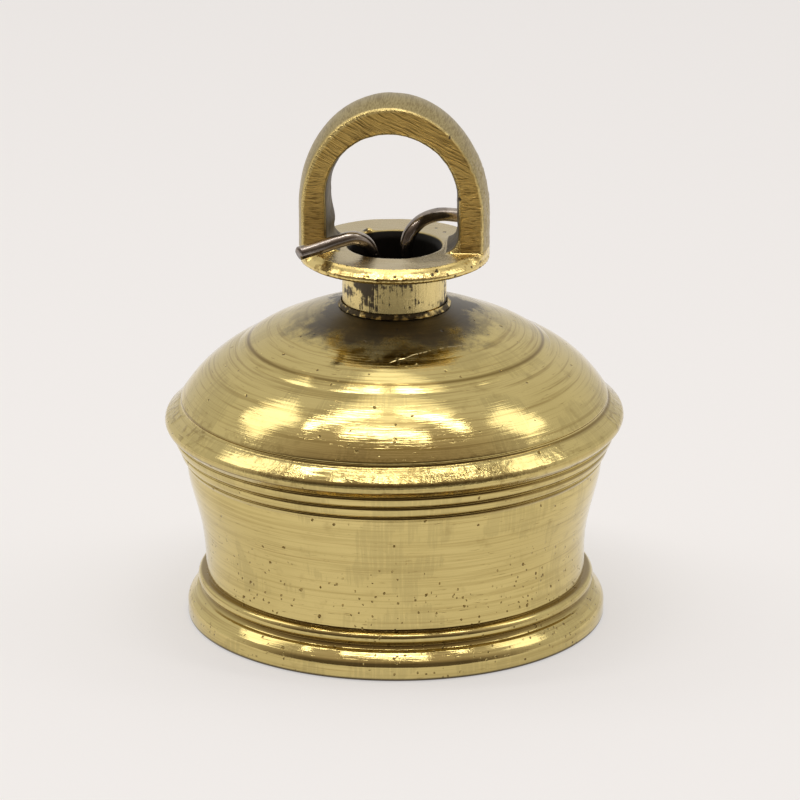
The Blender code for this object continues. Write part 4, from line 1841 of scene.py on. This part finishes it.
@dataclass
class Clapper:
    """The clapper: an iron shank with an eye, and a turned brass bob held by a peened tail."""

    bight: float = 0.0574
    angle: float = 36.0
    wire: float = 0.0015
    shank: float = 0.0015
    eye: float = 0.0050
    eye_clearance: float = 0.0005
    eye_start: float = 208.0
    eye_end: float = -52.0
    bob: float = 0.0088
    bob_height: float = 0.0165
    taper: float = 0.0105
    bob_top: float = 0.0032
    collar: float = 0.0022
    tail: float = 0.0031
    tail_height: float = 0.0016
    gap: float = 0.0003
    voxel: float = 0.00022
    shank_wave: tuple[float, float, float] = (0.003, 8.0, 0.00006)
    bob_wave: tuple[float, float, float] = (0.005, 3.0, 0.00005)

    def turned(self) -> Matrix:
        """The turn of the hanger's plane."""
        return Matrix.Rotation(math.radians(self.angle), 4, "Z")

    def build_shank(self) -> bpy.types.Object:
        """Build the rod, its eye and its peened tail as one forged piece.

        Returns:
            The piece.
        """
        center = self.bight + self.wire + self.eye_clearance + self.shank - self.eye
        ring = [Vector((0.0, y, center + z)) for y, z in
                arc((0.0, 0.0), self.eye, self.eye_start, self.eye_end, 48)]
        below = center - self.eye
        top = self.bob_height - self.bob - self.gap
        start = ring[0]
        neck = [
            Vector((0.0, 0.0, top - self.tail_height / 2)),
            Vector((0.0, 0.0, (top + below) / 2)),
            Vector((0.0, 0.0, below - 0.0050)),
            Vector((0.0, start.y * 0.18, below - 0.0022)),
            Vector((0.0, start.y * 0.72, below + 0.0006)),
        ]
        path = [self.turned() @ point for point in smooth_path(neck + ring[:1], 10)[:-1] + ring]
        item = wire_object("clapper_shank_fine", path, self.shank, 8)
        peened = [
            (0.0, top),
            (self.tail * 0.85, top),
            (self.tail, top - self.tail_height * 0.4),
            (self.tail * 0.7, top - self.tail_height * 0.85),
            (0.0, top - self.tail_height),
        ]
        head = mesh_object("head", spun(peened, 48, closed=False))
        union = item.modifiers.new("Peened", "BOOLEAN")
        union.operation = "UNION"
        union.solver = "EXACT"
        union.object = head
        remesh = item.modifiers.new("Even", "REMESH")
        remesh.mode = "VOXEL"
        remesh.voxel_size = self.voxel
        settle(item)
        bpy.data.objects.remove(head, do_unlink=True)
        reshape(item, ripple(*self.shank_wave))
        finish = DarkIron("iron_rod", colour=(0.11, 0.095, 0.085), roughness=0.46)
        finish_piece(item, finish, Body.CLAPPER, Slot.IRON_ROD, "clapper_shank")
        return item

    def build_bob(self) -> bpy.types.Object:
        """Build the bob.

        Returns:
            The piece.
        """
        bore = self.shank + self.gap
        flat = math.degrees(math.asin(bore / self.bob))
        top = self.bob_height + self.taper
        outline = [(bore, top), (self.bob_top, top), (self.bob_top * 1.25, top - self.collar)]
        outline = soften(outline + arc((0.0, self.bob_height), self.bob, 52, -90 + flat, 60), 0.0004)
        item = mesh_object("clapper_bob_fine", spun(outline, 160, closed=True))
        reshape(item, ripple(*self.bob_wave))
        finish = BobBrass("bob_brass", colour=(0.52, 0.39, 0.15), roughness=0.40, belt=self.bob_height)
        finish_piece(item, finish, Body.CLAPPER, Slot.BOB_BRASS, "clapper_bob")
        return item


# ---------------------------------------------------------------- studio


@dataclass(frozen=True)
class SoftBox:
    """A soft light that faces the bell."""

    name: str
    direction: tuple[float, float, float]
    distance: float
    size: tuple[float, float]
    power: float
    colour: Colour = (1.0, 0.985, 0.96)

    def build(self, aim: Vector) -> None:
        """Add the light, turned towards a point.

        Args:
            aim: the point.
        """
        light = bpy.data.lights.new(self.name, "AREA")
        light.shape = "RECTANGLE"
        light.size, light.size_y = self.size
        light.energy = self.power
        light.color = self.colour
        item = bpy.data.objects.new(self.name, light)
        away = Vector(self.direction).normalized()
        item.location = aim + away * self.distance
        item.rotation_euler = away.to_track_quat("Z", "Y").to_euler()
        bpy.context.scene.collection.objects.link(item)


@dataclass
class Studio:
    """Floor, lights and camera."""

    aim: Vector = field(default_factory=lambda: Vector((0.0, 0.0, 0.0481)))
    distance: float = 1.417
    elevation: float = 18.6
    azimuth: float = 4.0
    lens: float = 292.5
    shift: float = 0.0071
    sensor: float = 36.0
    floor_size: float = 8.0
    floor_drop: float = 0.0001
    flag_near: float = 0.15
    flag_depth: float = 1.4
    flag_width: float = 2.4
    flag_height: float = 0.0005
    flag_glow: float = 0.30
    flag_colour: Colour = (1.0, 0.95, 0.88)
    floor_colour: Colour = (0.450, 0.440, 0.436)
    floor_glow: float = 1.06
    room_colour: Colour = (1.0, 0.97, 0.94)
    room_glow: float = 0.72
    front_colour: Colour = (1.0, 0.80, 0.62)
    front_glow: float = 0.12
    ceiling_glow: float = 0.26

    def build_floor(self) -> None:
        """Add the plain pale floor."""
        bm = bmesh.new()
        bmesh.ops.create_grid(bm, x_segments=8, y_segments=8, size=self.floor_size / 2,
                              matrix=Matrix.Translation((0.0, 0.0, -self.floor_drop)))
        floor = mesh_object("studio_floor", bm)
        material = bpy.data.materials.new("pale_floor")
        material.use_nodes = True
        graph = Graph(material.node_tree)
        lit = graph.node("ShaderNodeBsdfDiffuse", {}, {"Color": self.floor_colour})
        glow = graph.node("ShaderNodeEmission", {},
                          {"Color": self.floor_colour, "Strength": self.floor_glow})
        both = graph.node("ShaderNodeAddShader", {}, {0: lit, 1: glow})
        graph.add("ShaderNodeOutputMaterial", {}, {"Surface": both})
        floor.data.materials.append(material)

    def build_flag(self) -> None:
        """Add a dark card on the floor in front, seen only in the bell's reflections."""
        bm = bmesh.new()
        center = Matrix.Translation((0.0, -self.flag_near - self.flag_depth / 2, self.flag_height))
        size = Matrix.Diagonal((self.flag_width, self.flag_depth, 1.0, 1.0))
        bmesh.ops.create_grid(bm, x_segments=4, y_segments=4, size=0.5, matrix=center @ size)
        flag = mesh_object("studio_flag", bm)
        for kind in ("camera", "diffuse", "shadow", "transmission", "volume_scatter"):
            setattr(flag, f"visible_{kind}", False)
        material = bpy.data.materials.new("flag_card")
        material.use_nodes = True
        graph = Graph(material.node_tree)
        glow = graph.node("ShaderNodeEmission", {},
                          {"Color": self.flag_colour, "Strength": self.flag_glow})
        graph.add("ShaderNodeOutputMaterial", {}, {"Surface": glow})
        flag.data.materials.append(material)

    def build_world(self) -> None:
        """Add the pale room: bright behind the bell, dim in front of it at eye level."""
        world = bpy.data.worlds.new("pale_room")
        bpy.context.scene.world = world
        world.use_nodes = True
        graph = Graph(world.node_tree)
        made = graph.add("ShaderNodeTexCoord", {}, {})
        split = graph.add("ShaderNodeSeparateXYZ", {}, {0: Signal(graph, made.outputs["Generated"])})
        y, z = Signal(graph, split.outputs[1]), Signal(graph, split.outputs[2])
        front = y.step(0.25, -0.75)
        dim = self.front_glow + self.ceiling_glow * z.step(0.45, 0.90)
        strength = self.room_glow * (1 - front) + front * dim
        tint = graph.mix(front, self.room_colour, self.front_colour)
        glow = graph.node("ShaderNodeBackground", {}, {"Color": tint, "Strength": strength})
        graph.add("ShaderNodeOutputWorld", {}, {"Surface": glow})

    def build_lights(self) -> None:
        """Add the overhead box with its brighter edge strips, and a box at each side."""
        boxes = (
            SoftBox("overhead", (-0.05, -0.07, 1.0), 1.0, (0.56, 0.66), 1.00),
            SoftBox("overhead_front", (-0.05, -0.39, 0.98), 1.0, (0.60, 0.05), 0.90),
            SoftBox("overhead_left", (-0.34, -0.10, 0.98), 1.0, (0.05, 0.52), 0.70),
            SoftBox("overhead_right", (0.24, -0.10, 0.98), 1.0, (0.05, 0.52), 0.70),
            SoftBox("left_box", (-0.69, 0.10, 0.72), 1.1, (0.35, 0.45), 0.76),
            SoftBox("right_box", (0.69, 0.10, 0.72), 1.1, (0.30, 0.45), 0.64),
        )
        for box in boxes:
            box.build(self.aim)

    def build_camera(self) -> None:
        """Add the camera and make it the scene's."""
        turn, rise = math.radians(self.azimuth), math.radians(self.elevation)
        level = math.cos(rise)
        away = Vector((math.sin(turn) * level, -math.cos(turn) * level, math.sin(rise)))
        data = bpy.data.cameras.new("camera")
        data.sensor_width = self.sensor
        data.lens = self.lens
        data.shift_x = self.shift
        data.clip_start = 0.01
        data.clip_end = 100.0
        camera = bpy.data.objects.new("camera", data)
        camera.location = self.aim + away * self.distance
        camera.rotation_euler = away.to_track_quat("Z", "Y").to_euler()
        bpy.context.scene.collection.objects.link(camera)
        bpy.context.scene.camera = camera

    def build(self) -> None:
        """Build the studio."""
        bpy.context.scene.view_settings.view_transform = "Standard"
        self.build_camera()
        self.build_floor()
        self.build_flag()
        self.build_world()
        self.build_lights()


def main() -> None:
    """Build the bell's pieces and the studio around them."""
    logging.basicConfig(level=logging.INFO, format="%(name)s: %(message)s")
    shell_low, shell_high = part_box("bell_shell")
    crown_low, crown_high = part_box("crown_casting")
    braze_low, braze_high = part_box("crown_braze")

    Studio().build()
    BellShell(radius=shell_high.x, height=shell_high.z).build()
    crown = Crown(disc_radius=crown_high.x, loop_top=crown_high.z, neck_end=crown_low.z)
    crown.build()
    Braze(low=braze_low.z, high=braze_high.z).build()
    HangerWire(disc_top=crown.disc_top).build()
    clapper = Clapper()
    clapper.build_shank()
    clapper.build_bob()


if __name__ == "__main__":
    main()
